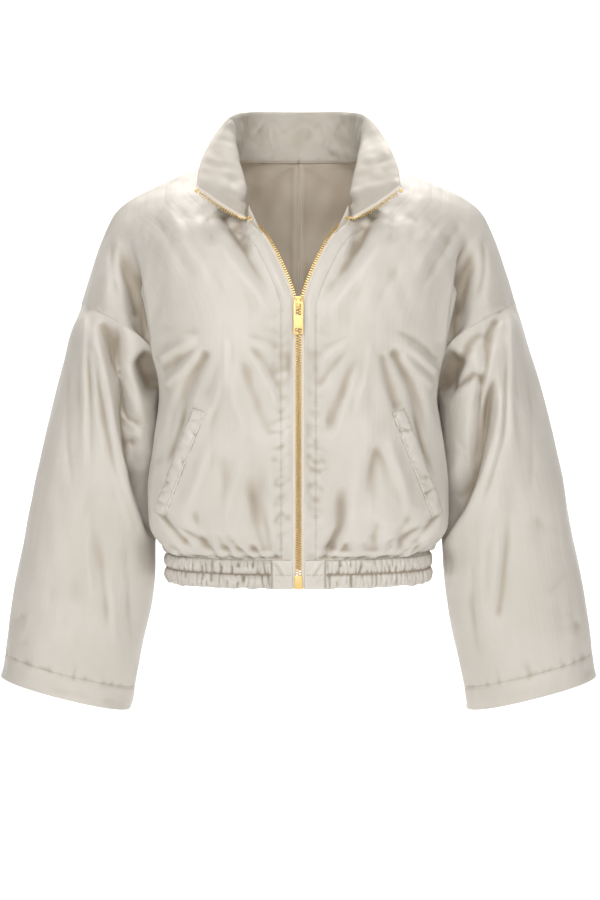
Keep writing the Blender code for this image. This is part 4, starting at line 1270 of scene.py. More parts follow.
# On the collar: distance round it from the middle of the back, and height above its seam.
COLLAR_INSIDE_FOLDS = (
    trough(0.9, (4, 3), (-64, 54), (-48, 40), (-40, 26)),
    ridge(0.8, (4, 4), (-56, 30), (-44, 38), (-30, 54)),
    trough(0.8, (3, 3), (-28, 50), (-14, 38), (-6, 22)),
    ridge(0.7, (4, 4), (-34, 22), (-22, 32), (-12, 48)),
    trough(0.7, (3, 3), (0, 52), (12, 40), (28, 34)),
    ridge(0.7, (4, 4), (4, 20), (16, 30), (32, 52)),
    trough(0.8, (3, 4), (40, 18), (46, 34), (60, 52)),
    ridge(0.7, (4, 3), (62, 28), (50, 42), (36, 56)),
    trough(1.6, (5, 4), (-86, 62), (-79, 36), (-77, 10)),
    trough(1, (4, 4), (-72, 62), (-70, 44), (-64, 24)),
    trough(1.6, (5, 4), (86, 62), (79, 36), (76, 10)),
    trough(1, (4, 4), (71, 62), (68, 46), (64, 24)),
    ridge(0.8, (6, 6), (-130, 8), (-128, 34), (-132, 60)),
    trough(0.7, (5, 5), (-112, 8), (-114, 34), (-120, 58)),
    ridge(0.8, (6, 6), (128, 8), (130, 34), (136, 60)),
    trough(0.7, (5, 5), (112, 8), (114, 36), (122, 58)),
)
TAB_FOLDS = (
    trough(0.9, (1.8, 2.2), (30, -437), (22, -446), (15, -458)),
    ridge(0.7, (2.4, 3), (27, -436), (18, -446), (11, -459)),
    trough(0.5, (1.8, 2.2), (29, -456), (18, -463)),
)
COLLAR_OUTSIDE_FOLDS = (
    trough(3, (6, 5), (-70, 6), (-82, 30), (-96, 52)),
    trough(2.7, (6, 5), (-30, 6), (-34, 30), (-28, 54)),
    trough(3, (6, 5), (66, 6), (78, 28), (88, 52)),
    trough(2.7, (6, 5), (24, 8), (32, 32), (30, 54)),
)


# ---- cloth pieces

def total(folds: tuple[Fold, ...], x: Grid, z: Grid) -> Grid:
    """Heights of several folds, added up."""
    return sum((fold.height(x, z) for fold in folds), np.zeros_like(x))


def groove(distance: Grid, at: float, depth: float, width: float) -> Grid:
    """Narrow line pressed in by stitches at one distance from an edge."""
    return -depth * np.exp(-((distance - at) / width) ** 2)


def read_across(cloth: Cloth, grid: Grid, rows: slice, distance: float) -> Grid:
    """Points of a grid at one distance from the piece's first column, one for each row."""
    return np.stack([read_line(distance, *row) for row in zip(cloth.start[rows], grid[rows])])


def read_up(cloth: Cloth, grid: Grid, distance: float) -> Grid:
    """Points of a grid at one distance above the piece's last row, one for each column."""
    columns = zip(cloth.bottom[::-1].T, grid[::-1].swapaxes(0, 1))
    return np.stack([read_line(distance, *column) for column in columns])


def stepped(line: Grid, facing: Grid, pitch: float, first: float = 0.5) -> tuple:
    """Points at one pitch along a line, with the direction that each of them faces.

    Args:
        line: Points of the line.
        facing: Directions at those points.
        pitch: Distance between two points.
        first: Where the first point lies, in pitches.

    Returns:
        The points and their directions.
    """
    knots = travelled(line)
    at = np.arange(first * pitch, knots[-1], pitch)
    return read_line(at, knots, line), unit(read_line(at, knots, facing))


def flat_size(cloth: Cloth) -> tuple[Pair, float]:
    """Size of a piece laid flat.

    Args:
        cloth: The piece's base form.

    Returns:
        Widest width and longest length, and the area, in metres.
    """
    width = float(lengths_along(cloth.points, 1)[:, -1].max())
    length = max(float(lengths_along(cloth.points, 0)[-1].max()), LEAST_SIDE)
    a = cloth.points[1:, 1:] - cloth.points[:-1, :-1]
    b = cloth.points[1:, :-1] - cloth.points[:-1, 1:]
    area = float(np.linalg.norm(np.cross(a, b), axis=-1).sum() / 2)
    if cloth.closed:
        ring = np.linalg.norm(cloth.points[:, -1] - cloth.points[:, 0], axis=-1)
        width += float(ring.max())
        area += float((ring[:-1] * np.linalg.norm(np.diff(cloth.points[:, 0], axis=0), axis=-1)).sum())
    return (width * MM, length * MM), min(area, width * length) * MM * MM


def stand_for(piece: Piece, node: str, body: str = "jacket") -> None:
    """Let a piece stand for a solid.

    Args:
        piece: The piece.
        node: Name of the solid.
        body: The body it rides on.
    """
    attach(piece, body)
    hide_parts(node)


def lay_flat(piece: Piece, cloth: Cloth) -> None:
    """State a piece of cloth's flat size.

    Args:
        piece: The piece.
        cloth: Its base form.
    """
    flat, area = flat_size(cloth)
    LOG.info("%s: flat %.3f x %.3f m, area %.4f m2", piece.name, *flat, area)


def dress(node: str, faces: tuple, cloth: Cloth, satin: list, rests_on: list[str], held: str = "draped",
          **tones: Grid | float) -> None:
    """Make the piece of satin that stands for a solid.

    Args:
        node: Name of the solid.
        faces: Outer and inner grid of the piece.
        cloth: Its base form.
        satin: Materials of the outside and the inside.
        rests_on: What it hangs from or lies on; not used.
        held: How it is held; not used.
        tones: Strength and offset of the painted shade of its folds, where they aren't the usual ones.
    """
    piece = shell(node + "_cloth", *faces, satin, cloth.closed, **tones)
    stand_for(piece, node)
    lay_flat(piece, cloth)


@dataclass
class Panels:
    """Both fronts and both backs."""

    form: JacketForm
    satin: list
    outer: dict = field(default_factory=dict)
    stitches: list = field(default_factory=list)
    hem_long: Gathers = Gathers(13.0, 5.2, 36.0, 3.6)
    hem_short: Gathers = Gathers(5.0, 3.4, 10.0, 1.6)
    armhole: Gathers = Gathers(9.0, 0.8, 9.0, 2.4)
    middle_back: Gathers = Gathers(8.0, 0.6, 8.0, 2.4)
    zip_puckers: Gathers = Gathers(5.0, 1.6, 16.0, 2.3, 0.35)

    def moves(self, cloth: Cloth, folds: tuple[Fold, ...], seed: int, front: bool) -> Grid:
        """Folds, ripples and puckers of one panel.

        Args:
            cloth: Its base form.
            folds: Its main folds.
            seed: Seed of its unevenness.
            front: True for a front.

        Returns:
            Moves along the normal.
        """
        points = cloth.points
        moves = relax(total(folds, points[..., 0], points[..., 2]), 1)
        moves *= ease(0.03, 0.35, np.abs(cloth.normals[..., 1]))
        moves += (0.8 * Ripple(seed, (90, 60, 130)).at(points)
                  + 0.22 * Ripple(seed + 1, (24, 24, 48)).at(points))
        moves *= ease(0, 9, cloth.end) * ease(0, 7, cloth.top) * ease(0, 7, cloth.start)
        moves *= ease(0, 2, cloth.bottom)
        along = np.broadcast_to(cloth.start[-1], moves.shape)
        hem = self.hem_long.height(seed + 2, along, cloth.bottom)
        hem += self.hem_short.height(seed + 3, along, cloth.bottom)
        hem += 2.6 * np.exp(-((cloth.bottom - 8.0) / 5.0) ** 2)
        moves += hem * ease(0, 0.8, cloth.bottom) * ease(0, 6, cloth.end) * ease(8, 26, cloth.start)
        row = np.arange(len(points))[:, None]
        rim = np.where(row <= self.form.underarm, cloth.end, FAR)
        moves += self.armhole.height(seed + 4, cloth.top, rim) * ease(0.2, 1.5, rim)
        if front:
            return moves + self.zip_side(cloth, row, seed)
        seam = np.where(row > self.form.neck, cloth.start, FAR)
        return moves + self.middle_back.height(seed + 5, cloth.top, seam) * ease(0.2, 1.5, seam)

    def allowance(self, cloth: Cloth) -> Grid:
        """More thickness inside a back: the cloth pressed open beside its middle seam."""
        seam = np.where(np.arange(len(cloth.points))[:, None] >= self.form.neck, cloth.start, FAR)
        return 0.9 * ease(8.0, 6.6, seam) * ease(0.0, 1.2, seam) - 0.35 * ease(1.4, 0.0, seam)

    def zip_side(self, cloth: Cloth, row: Grid, seed: int) -> Grid:
        """Line of stitches beside the zip, with the cloth puckered on both sides of it.

        Args:
            cloth: Base form of the front.
            row: Number of each row.
            seed: Seed of the panel.

        Returns:
            Moves along the normal.
        """
        edge = np.where(row >= self.form.neck, cloth.start, FAR)
        tight = 0.55 + 0.45 * ease(-200, -300, cloth.points[..., 2])
        puckers = self.zip_puckers.height(seed + 6, cloth.top, np.abs(edge - TOPSTITCH))
        return (puckers * tight + groove(edge, TOPSTITCH, 0.8, 0.9)) * ease(0, 4, edge)

    def build(self) -> None:
        """Build the four panels."""
        form = self.form
        for side in Side:
            for word, base, folds in (("front", form.front, FRONT_FOLDS), ("back", form.back, BACK_FOLDS)):
                cloth, front = base.for_side(side), word == "front"
                seed = 20 + 10 * side.value + (0 if front else 40)
                faces = cloth.faces(self.moves(cloth, folds, seed, front), CLOTH,
                                    0.0 if front else self.allowance(cloth))
                name = f"{word}_{side.label}"
                self.outer[name] = faces[0]
                if front:
                    rows = slice(form.neck + 3, None)
                    line, ways = (read_across(cloth, grid, rows, TOPSTITCH)
                                  for grid in (faces[0], normals_of(faces[0], cloth.turn)))
                    self.stitches.append(stepped(line, ways, STITCH))
                dress(name, faces, cloth, self.satin, ["neck_hold"])


@dataclass
class Sleeves:
    """Both sleeves, with their turned hems."""

    form: JacketForm
    satin: list
    stitches: list = field(default_factory=list)
    cap: Gathers = Gathers(10.0, 1.0, 13.0, 2.8)
    cuff: Gathers = Gathers(11.0, 1.3, 20.0, 3.0)

    def build(self) -> None:
        """Build both sleeves."""
        for side in Side:
            cloth = self.form.sleeve.for_side(side)
            seed = 120 + side.value
            hem = 0.9 * ease(CUFF_HEM + 0.6, CUFF_HEM - 0.6, cloth.bottom)
            faces = cloth.faces(self.moves(cloth, seed), CLOTH, hem)
            line, ways = (read_up(cloth, grid, CUFF_HEM)
                          for grid in (faces[0], normals_of(faces[0], cloth.turn, closed=True)))
            self.stitches.append(stepped(line, ways, STITCH))
            dress(f"sleeve_{side.label}", faces, cloth, self.satin,
                  [f"front_{side.label}", f"back_{side.label}"])

    def moves(self, cloth: Cloth, seed: int) -> Grid:
        """Folds, ripples and puckers of one sleeve.

        Args:
            cloth: Its base form.
            seed: Seed of its unevenness.

        Returns:
            Moves along the normal.
        """
        points, facing = cloth.points, cloth.normals[..., 1]
        moves = np.zeros(facing.shape)
        for folds, towards in ((SLEEVE_FRONT_FOLDS, -facing), (SLEEVE_BACK_FOLDS, facing)):
            heights = total(folds, points[..., 0], points[..., 2])
            moves += relax(heights, 1, closed=True) * ease(0.05, 0.4, towards)
        moves += (0.9 * Ripple(seed, (80, 60, 150)).at(points)
                  + 0.22 * Ripple(seed + 5, (24, 24, 52)).at(points))
        moves *= ease(0, 9, cloth.top) * ease(0, 10, cloth.bottom)
        along, low = (np.broadcast_to(cloth.start[row], moves.shape) for row in (0, -1))
        moves += self.cap.height(seed + 7, along, cloth.top) * ease(0.2, 1.5, cloth.top)
        above = np.where(cloth.bottom > CUFF_HEM, cloth.bottom - CUFF_HEM, 3 * (CUFF_HEM - cloth.bottom))
        moves += self.cuff.height(seed + 9, low, above)
        return moves + groove(cloth.bottom, CUFF_HEM, 0.9, 1.3)


@dataclass
class Collar:
    """Collar in two layers, and the binding over its seam."""

    form: JacketForm
    satin: list
    seam: Gathers = Gathers(6.0, 1.1, 13.0, 1.8)

    def build(self) -> None:
        """Build the collar, its binding and the facings."""
        cloth = self.form.collar
        round_it = lengths_along(cloth.points, 1)
        round_it = round_it - round_it[:, -1:] / 2
        held = ease(0, 6, cloth.top) * ease(0, 5, cloth.bottom)
        held = held * ease(0, 8, cloth.start) * ease(0, 8, cloth.end)
        outside, inside = ((total(folds, round_it, cloth.top) + waves.at(cloth.points) * height) * held
                           for folds, waves, height in ((COLLAR_OUTSIDE_FOLDS, Ripple(7, (60, 60, 60)), 0.5),
                                                        (COLLAR_INSIDE_FOLDS, Ripple(8, (22, 22, 18)), 0.3)))
        inside += self.seam.height(9, round_it, cloth.top) * ease(0.3, 2, cloth.top)
        faces = cloth.faces(outside, DOUBLE_CLOTH, np.maximum(outside + inside + 1.2 * held, -0.4))
        dress("collar", faces, cloth, self.satin, ["neck_hold"], tone=0.4)
        self.binding(cloth)
        self.facings()

    def facings(self) -> None:
        """Inside of each front where it rolls out below the collar, a narrow triangle beside the zip."""
        front, rows = self.form.front, slice(self.form.neck, None)
        edge = front.points[rows, 0] - front.cuts[rows, 0] * (CLOTH + UNDER)
        edge = edge[edge[:, 2] > FACING_LOW]
        share = np.linspace(0, 1, len(edge))[:, None]
        roll = np.array(FACING_ROLL[0]) * (1 - share) + np.array(FACING_ROLL[1]) * share
        across = np.linspace(0, 1, 9)[None, :, None]
        points = edge[:, None] * (1 - across) + roll[:, None] * across
        points[..., 1] -= 3.0 * np.sin(math.pi * across[..., 0]) * (1 - share)
        for side in Side:
            cloth = Cloth.facing_front(side.turn(points))
            faces = cloth.faces(np.zeros(points.shape[:2]), CLOTH)
            # Both faces take the darker copy of the satin: painted shade under the collar.
            piece = shell(f"front_facing_{side.label}", *faces, self.satin[1:] * 2)
            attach(piece, "jacket")
            lay_flat(piece, cloth)

    def binding(self, cloth: Cloth) -> None:
        """Narrow strip inside the neck, over the collar seam from one shoulder to the other.

        Args:
            cloth: Base form of the collar.
        """
        base, cuts = cloth.points[0, self.form.binding], cloth.cuts[0, self.form.binding]
        up = cloth.points[4, self.form.binding] - base
        up = unit(up - cuts * (up * cuts).sum(-1, keepdims=True))
        middle = base - cuts * (DOUBLE_CLOTH + UNDER)
        share = np.array((-1.0, -0.9, -0.62, 0.0, 0.62, 0.9, 1.0))[:, None, None]
        swell = np.array((0.0, 0.12, 0.2, 0.2, 0.2, 0.12, 0.0))[:, None, None]
        strip = middle + up * share * 1.75
        inner = strip - cuts * (0.5 + swell)
        # Painted shade darkens the whole binding, which sits in the neck below the collar.
        dress("neck_binding", (inner, strip), Cloth(strip), self.satin[1:] * 2, ["collar"], shade=-1.1)


@dataclass
class Band:
    """Elastic hem band in two gathered channels, and the flat tabs at its ends."""

    satin: list
    pitch: float = 0.85
    rows: int = 29
    stitches: list = field(default_factory=list)

    @staticmethod
    def ring(angles: Grid) -> Grid:
        """Points round the bottom of the body.

        Args:
            angles: Turns from the middle of the front.

        Returns:
            Points (X, Y).
        """
        _, width, front, back, roundness, _ = BODY_SECTIONS[-1]
        sine, cosine = np.sin(angles), np.cos(angles)
        depth = np.where(cosine > 0, front, back)
        return np.stack([width * np.sign(sine) * np.abs(sine) ** (2 / roundness),
                         -depth * np.sign(cosine) * np.abs(cosine) ** (2 / roundness)], axis=-1)

    def around(self, start: float, end: float, pitch: float) -> Grid:
        """Points at an even pitch round the ring.

        Args:
            start: Distance from the centre front at which they start.
            end: The same for their end; below 0 on the wearer's right, the long way round.
            pitch: The pitch.

        Returns:
            Points (X, Y).
        """
        width, roundness = BODY_SECTIONS[-1][1], BODY_SECTIONS[-1][4]
        first, last = (math.asin((abs(x) / width) ** (roundness / 2)) for x in (start, end))
        fine = self.ring(np.linspace(first, 2 * math.pi - last if end < 0 else last, 6000))
        knots = travelled(fine)
        return read_line(np.linspace(0, knots[-1], round(knots[-1] / pitch)), knots, fine)

    def pinches(self, along: Grid, down: Grid) -> Grid:
        """Gathers of both channels, each pinch of its own depth, lean and length.

        Args:
            along: Distances along the band.
            down: Shares of its height, from its top.

        Returns:
            Moves outwards.
        """
        random = np.random.default_rng(31)
        out = np.zeros_like(along)
        for low, high in ((0.0, 0.5), (0.5, 1.0)):
            place = 1.0
            share = (down - low) / (high - low)
            inside = (share >= 0) & (share <= 1)
            while place < along.max():
                depth = random.choice((1.0, 1.8, 2.8, 3.6), p=(0.25, 0.3, 0.3, 0.15))
                depth *= random.uniform(0.8, 1.15)
                width, lean = random.uniform(0.8, 1.35), random.normal(0, 1.3)
                start, end = random.choice(((-0.3, 1.3), (-0.3, 0.7), (0.3, 1.3)), p=(0.5, 0.25, 0.25))
                near = inside & (np.abs(along - place) < 6)
                here = share[near]
                bend = 0.5 * np.sin(3 * here + place)
                off = (along[near] - place - lean * (here - 0.5) - bend) / width
                window = ease(start, start + 0.3, here) * ease(end, end - 0.3, here)
                out[near] -= depth * np.exp(-np.abs(off) ** 1.6) * window
                step = random.choice((2.1, 3.1, 4.2, 5.6), p=(0.2, 0.35, 0.3, 0.15))
                place += step * random.uniform(0.85, 1.15)
        return out

    def build(self) -> None:
        """Build the band and the tabs."""
        tab_end = ZIP_EDGE + TAB_WIDTH
        line = self.around(tab_end + SEAM_GAP, -tab_end - SEAM_GAP, self.pitch)
        out = np.gradient(line, axis=0)
        out = unit(np.stack([-out[:, 1], out[:, 0]], axis=1))
        out *= np.sign((out * line).sum(1).mean())
        down = np.linspace(0, 1, self.rows)[:, None] + np.zeros(len(line))
        along = np.arange(len(line)) * self.pitch + np.zeros((self.rows, 1))
        puff = np.abs(np.sin(2 * math.pi * down)) ** 0.6
        ends = ease(0, 3, along) * ease(along.max(), along.max() - 3, along)
        waves = Ripple(33, (14, 14, 14)).at(np.stack([along, 30 * down, np.zeros_like(along)], -1))
        moves = (3.2 + 0.45 * waves) * puff + self.pinches(along, down) * (0.3 + 0.7 * puff) * ends
        z = BAND_TOP + (BAND_BOTTOM - BAND_TOP) * down + 0.5 * waves * ease(0.6, 1.0, down) * ends
        seam = 0.2 * (1 - np.abs(np.cos(math.pi * down)))
        outer, inner = (np.concatenate([line + out * offset[..., None], z[..., None]], axis=-1)
                        for offset in (moves - seam, puff - 1.9))
        self.stitches.append(stepped(outer[self.rows // 2], np.pad(out, ((0, 0), (0, 1))), STITCH))
        # Painted shade along the band's top edge, below the body's overhang, and along the seam between its
        # channels.
        shade = -0.5 * (np.exp(-(down / 0.03) ** 2) + np.exp(-((down - 0.5) / 0.03) ** 2))
        dress("hem_band", (outer, inner), Cloth(outer), self.satin,
              ["front_left", "front_right", "back_left", "back_right"], "gathered", tone=1.4, shade=shade)
        self.tabs()

    def tabs(self) -> None:
        """Flat tabs between the band and the zip, each with a slanting crease."""
        line = self.around(ZIP_EDGE, ZIP_EDGE + TAB_WIDTH, 0.9)
        down = np.linspace(0, 1, 36)[:, None] + np.zeros(len(line))
        x, y = (part + np.zeros_like(down) for part in line.T)
        z = BAND_TOP + (BAND_BOTTOM - BAND_TOP) * down
        points = np.stack([x, y, z], axis=-1)
        moves = total(TAB_FOLDS, x, z) + 0.5 * np.sin(math.pi * down) ** 0.5
        moves += groove(z, (BAND_TOP + BAND_BOTTOM) / 2, 0.3, 0.7)
        moves += groove(x, ZIP_EDGE + TAB_WIDTH - 1, 0.2, 0.7)
        for side in Side:
            cloth = Cloth.facing_front(side.turn(points))
            faces = cloth.faces(moves, DOUBLE_CLOTH)
            for line in (faces[0][2:-2, -3], faces[0][18, 2:-3]):
                self.stitches.append(stepped(line, np.broadcast_to((0.0, -1.0, 0.0), line.shape), STITCH))
            dress(f"hem_tab_{side.label}", faces, cloth, self.satin, [f"front_{side.label}"])


@dataclass
class Welts:
    """Pocket welts, laid on the folds of the fronts."""

    panels: Panels
    satin: list
    stitches: list = field(default_factory=list)
    lift: float = 2.7
    ends: Gathers = Gathers(8.5, 2.0, 16.0, 2.6, 0.4)
    inner_side: Gathers = Gathers(5.0, 0.9, 6.0, 1.5)

    def laid_on(self, side: Side) -> Grid:
        """Grid of a welt, dropped onto the front from before it.

        Args:
            side: Side of the wearer.

        Returns:
            Grid of points, from the welt's upper end down.
        """
        (x0, z0), (x1, z1) = WELT_LINE
        length = math.hypot(x1 - x0, z1 - z0)
        down, across = divided(length, 1.5) / length, divided(WELT_WIDTH, 1.4) / WELT_WIDTH * 2 - 1
        s, t = np.meshgrid(down, across, indexing="ij")
        x = x0 + (x1 - x0) * s - (z1 - z0) / length * WELT_WIDTH / 2 * t
        z = z0 + (z1 - z0) * s + (x1 - x0) / length * WELT_WIDTH / 2 * t
        front = self.panels.outer[f"front_{side.label}"]
        ground = BVHTree.FromPolygons(front.reshape(-1, 3).tolist(), quads_of(*front.shape[:2]).tolist())
        hits = [tuple(ground.ray_cast(Vector((side.value * a, -400, b)), Vector((0, 1, 0)))[0])
                for a, b in zip(x.flat, z.flat)]
        return relax(np.array(hits).reshape(*x.shape, 3), 3)

    def build(self) -> None:
        """Build both welts."""
        for side in Side:
            points = self.laid_on(side)
            cloth = Cloth.facing_front(points)
            cloth.points = points + cloth.normals * self.lift
            seed, edge = 51 + side.value, cloth.edge()
            moves = 0.45 * Ripple(seed, (30, 30, 14)).at(points) * ease(0, 4, edge)
            moves += self.ends.height(seed + 3, cloth.top, cloth.start)
            moves += self.ends.height(seed + 6, cloth.top, cloth.end)
            moves -= 0.9 * ease(2.5, 0.0, edge)
            near = cloth.start if abs(points[0, 0, 0]) < abs(points[0, -1, 0]) else cloth.end
            moves += self.inner_side.height(seed, cloth.top, near)
            faces = cloth.faces(moves, CLOTH, 1.3)
            ways = normals_of(faces[0], cloth.turn)
            inset = slice(4, -4)
            for line in ((inset, 4), (inset, -5), (4, inset), (-5, inset)):
                self.stitches.append(stepped(faces[0][line], ways[line], STITCH))
            # Painted shade along the welt's edges, where it stands off the front.
            dress(f"pocket_welt_{side.label}", faces, cloth, self.satin, [f"front_{side.label}"],
                  tone=1.5, shade=-1.3 * ease(1.8, 0.2, edge))


# ---- the zip

class ZipPath:
    """Line of the left opening's fold from the collar's top to the box, with a frame that twists smoothly.

    Attributes:
        at: Distance of each point from the collar's top.
        points: Points of the line.
        towards: Directions in the cloth, towards the other side of the opening.
        normals: Directions out of the front.
        step: Distance between two points.
        spread: Length over which the directions are averaged.
    """

    step = 1.2
    spread = 14.0

    def __init__(self, form: JacketForm) -> None:
        """Follow the edges of the collar and the front.

        Args:
            form: The jacket's form.
        """
        points, facing, towards = [], [], []
        for cloth, rows, thick in ((form.collar, slice(None, 0, -1), DOUBLE_CLOTH),
                                   (form.front, slice(form.neck, None), CLOTH)):
            edge = cloth.points[rows, 0]
            points.append(edge - cloth.cuts[rows, 0] * thick / 2)
            facing.append(cloth.cuts[rows, 0])
            towards.append(edge - cloth.points[rows, 5])
        points.append(points[-1][-1:] * (1, 1, 0) + (0, 0, BAND_BOTTOM + 1.0))
        facing.append(facing[-1][-1:])
        towards.append(towards[-1][-1:])
        points, facing, towards = (np.concatenate(each) for each in (points, facing, towards))
        knots = travelled(points)
        self.at = np.linspace(0.0, knots[-1], round(knots[-1] / self.step))
        points, facing, towards = (read_line(self.at, knots, each) for each in (points, facing, towards))
        self.points = self.smooth(points, 3.0)
        tangents = unit(self.smooth(unit(np.gradient(self.points, axis=0)), self.spread))
        flat = unit(self.smooth(unit(towards), self.spread))
        together = ease(ZIP_EDGE + 7.0, ZIP_EDGE, self.points[:, 0])[:, None]
        flat = unit(flat * (1 - together) + np.array((-1.0, 0.0, 0.0)) * together)
        self.towards = unit(flat - tangents * (flat * tangents).sum(1, keepdims=True))
        normals = np.cross(self.towards, tangents)
        self.normals = normals * np.sign((normals * facing).sum(1, keepdims=True))

    def smooth(self, values: Grid, spread: float) -> Grid:
        """Average values over their neighbours; the ends stay.

        Args:
            values: Rows of three values.
            spread: Length over which they are averaged.

        Returns:
            The averages.
        """
        reach = int(3 * spread / self.step)
        weights = np.exp(-0.5 * (np.arange(-reach, reach + 1) * self.step / spread) ** 2)
        weights /= weights.sum()
        before, after = values[reach:0:-1], values[-2:-reach - 2:-1]
        padded = np.concatenate([2 * values[:1] - before, values, 2 * values[-1:] - after])
        return np.stack([np.convolve(padded[:, i], weights, mode="valid") for i in range(3)], axis=1)

    def ribbon(self, across: Grid, lift: Grid) -> Grid:
        """Grid of points beside the fold: distances towards the other side, and heights above the middle."""
        return (self.points[:, None] + self.towards[:, None] * np.asarray(across)[None, :, None]
                + self.normals[:, None] * np.asarray(lift)[None, :, None])


class Repeats:
    """Sets a small piece at every point of a line, by Geometry Nodes."""

    def __init__(self) -> None:
        """Build the node group that all rows share."""
        self.group = bpy.data.node_groups.new("row_of_repeats", "GeometryNodeTree")
        ports = (("Line", "INPUT", "NodeSocketGeometry"), ("Unit", "INPUT", "NodeSocketObject"),
                 ("Finish", "INPUT", "NodeSocketMaterial"), ("Row", "OUTPUT", "NodeSocketGeometry"))
        self.ports = {name: self.group.interface.new_socket(name, in_out=way, socket_type=kind).identifier
                      for name, way, kind in ports}
        tree = Tree(self.group)
        given = tree.add("NodeGroupInput").outputs
        curve = tree.add("GeometryNodeMeshToCurve", {"Mesh": given["Line"]})
        facing = tree.add("GeometryNodeInputNamedAttribute", {"Name": "facing"}, data_type="FLOAT_VECTOR")
        tangent = tree.add("GeometryNodeInputTangent")
        axes = {0: facing.outputs["Attribute"], 1: tangent.outputs["Tangent"]}
        turn = tree.add("FunctionNodeAxesToRotation", axes, primary_axis="Z", secondary_axis="X")
        unit_piece = tree.add("GeometryNodeObjectInfo", {"Object": given["Unit"]})
        placed = tree.add("GeometryNodeInstanceOnPoints",
                          {"Points": curve.outputs["Curve"], "Instance": unit_piece.outputs["Geometry"],
                           "Rotation": turn.outputs["Rotation"]})
        real = tree.add("GeometryNodeRealizeInstances", {"Geometry": placed.outputs["Instances"]})
        dressed = tree.add("GeometryNodeSetMaterial", {"Geometry": real.outputs["Geometry"],
                                                       "Material": given["Finish"]})
        tree.add("NodeGroupOutput", {"Row": dressed.outputs["Geometry"]})

    def along(self, name: str, lines: list[tuple[Grid, Grid]], piece: Piece,
              finish: Finish) -> Piece:
        """Set pieces along lines.

        Args:
            name: Name of the row.
            lines: Points, at their pitch, and facing directions of each line.
            piece: The small piece; its X runs along the line and its Z is the facing direction.
            finish: Their material.

        Returns:
            The row as one mesh.
        """
        points = np.concatenate([line for line, _ in lines]) * MM
        facing = np.concatenate([way for _, way in lines])
        edges, first = [], 0
        for line, _ in lines:
            edges += [(first + i, first + i + 1) for i in range(len(line) - 1)]
            first += len(line)
        mesh = bpy.data.meshes.new(name + "_line")
        mesh.from_pydata(points.tolist(), edges, [])
        mesh.attributes.new("facing", "FLOAT_VECTOR", "POINT").data.foreach_set("vector", facing.ravel())
        holder = place_object(name + "_line", mesh)
        modifier = holder.modifiers.new("row", "NODES")
        modifier.node_group = self.group
        modifier[self.ports["Unit"]] = piece
        modifier[self.ports["Finish"]] = finish
        row = bpy.data.meshes.new_from_object(holder.evaluated_get(bpy.context.evaluated_depsgraph_get()))
        row.name = name
        bpy.data.objects.remove(holder)
        return place_object(name, row)


def turned_unit(name: str, outlines: list[tuple[float, list[Pair]]], axis: int) -> Piece:
    """Small closed piece lofted through outlines that all have the same number of points.

    Args:
        name: Name of the piece.
        outlines: Position along the axis, and the points of the outline in the other two directions.
        axis: 0 or 2, the axis that the outlines are set along.

    Returns:
        The piece, in metres.
    """
    count = len(outlines[0][1])
    points = [(place, a, b) if axis == 0 else (a, b, place)
              for place, outline in outlines for a, b in outline]
    faces = [tuple(range(count))[::-1], tuple(range(len(points) - count, len(points)))]
    faces += quads_of(len(outlines), count, closed=True).tolist()
    mesh = bpy.data.meshes.new(name)
    mesh.from_pydata([tuple(MM * c for c in p) for p in points], [], faces)
    work = bmesh.new()
    work.from_mesh(mesh)
    bmesh.ops.recalc_face_normals(work, faces=work.faces)
    work.to_mesh(mesh)
    work.free()
    mesh.shade_smooth()
    return place_object(name, mesh)


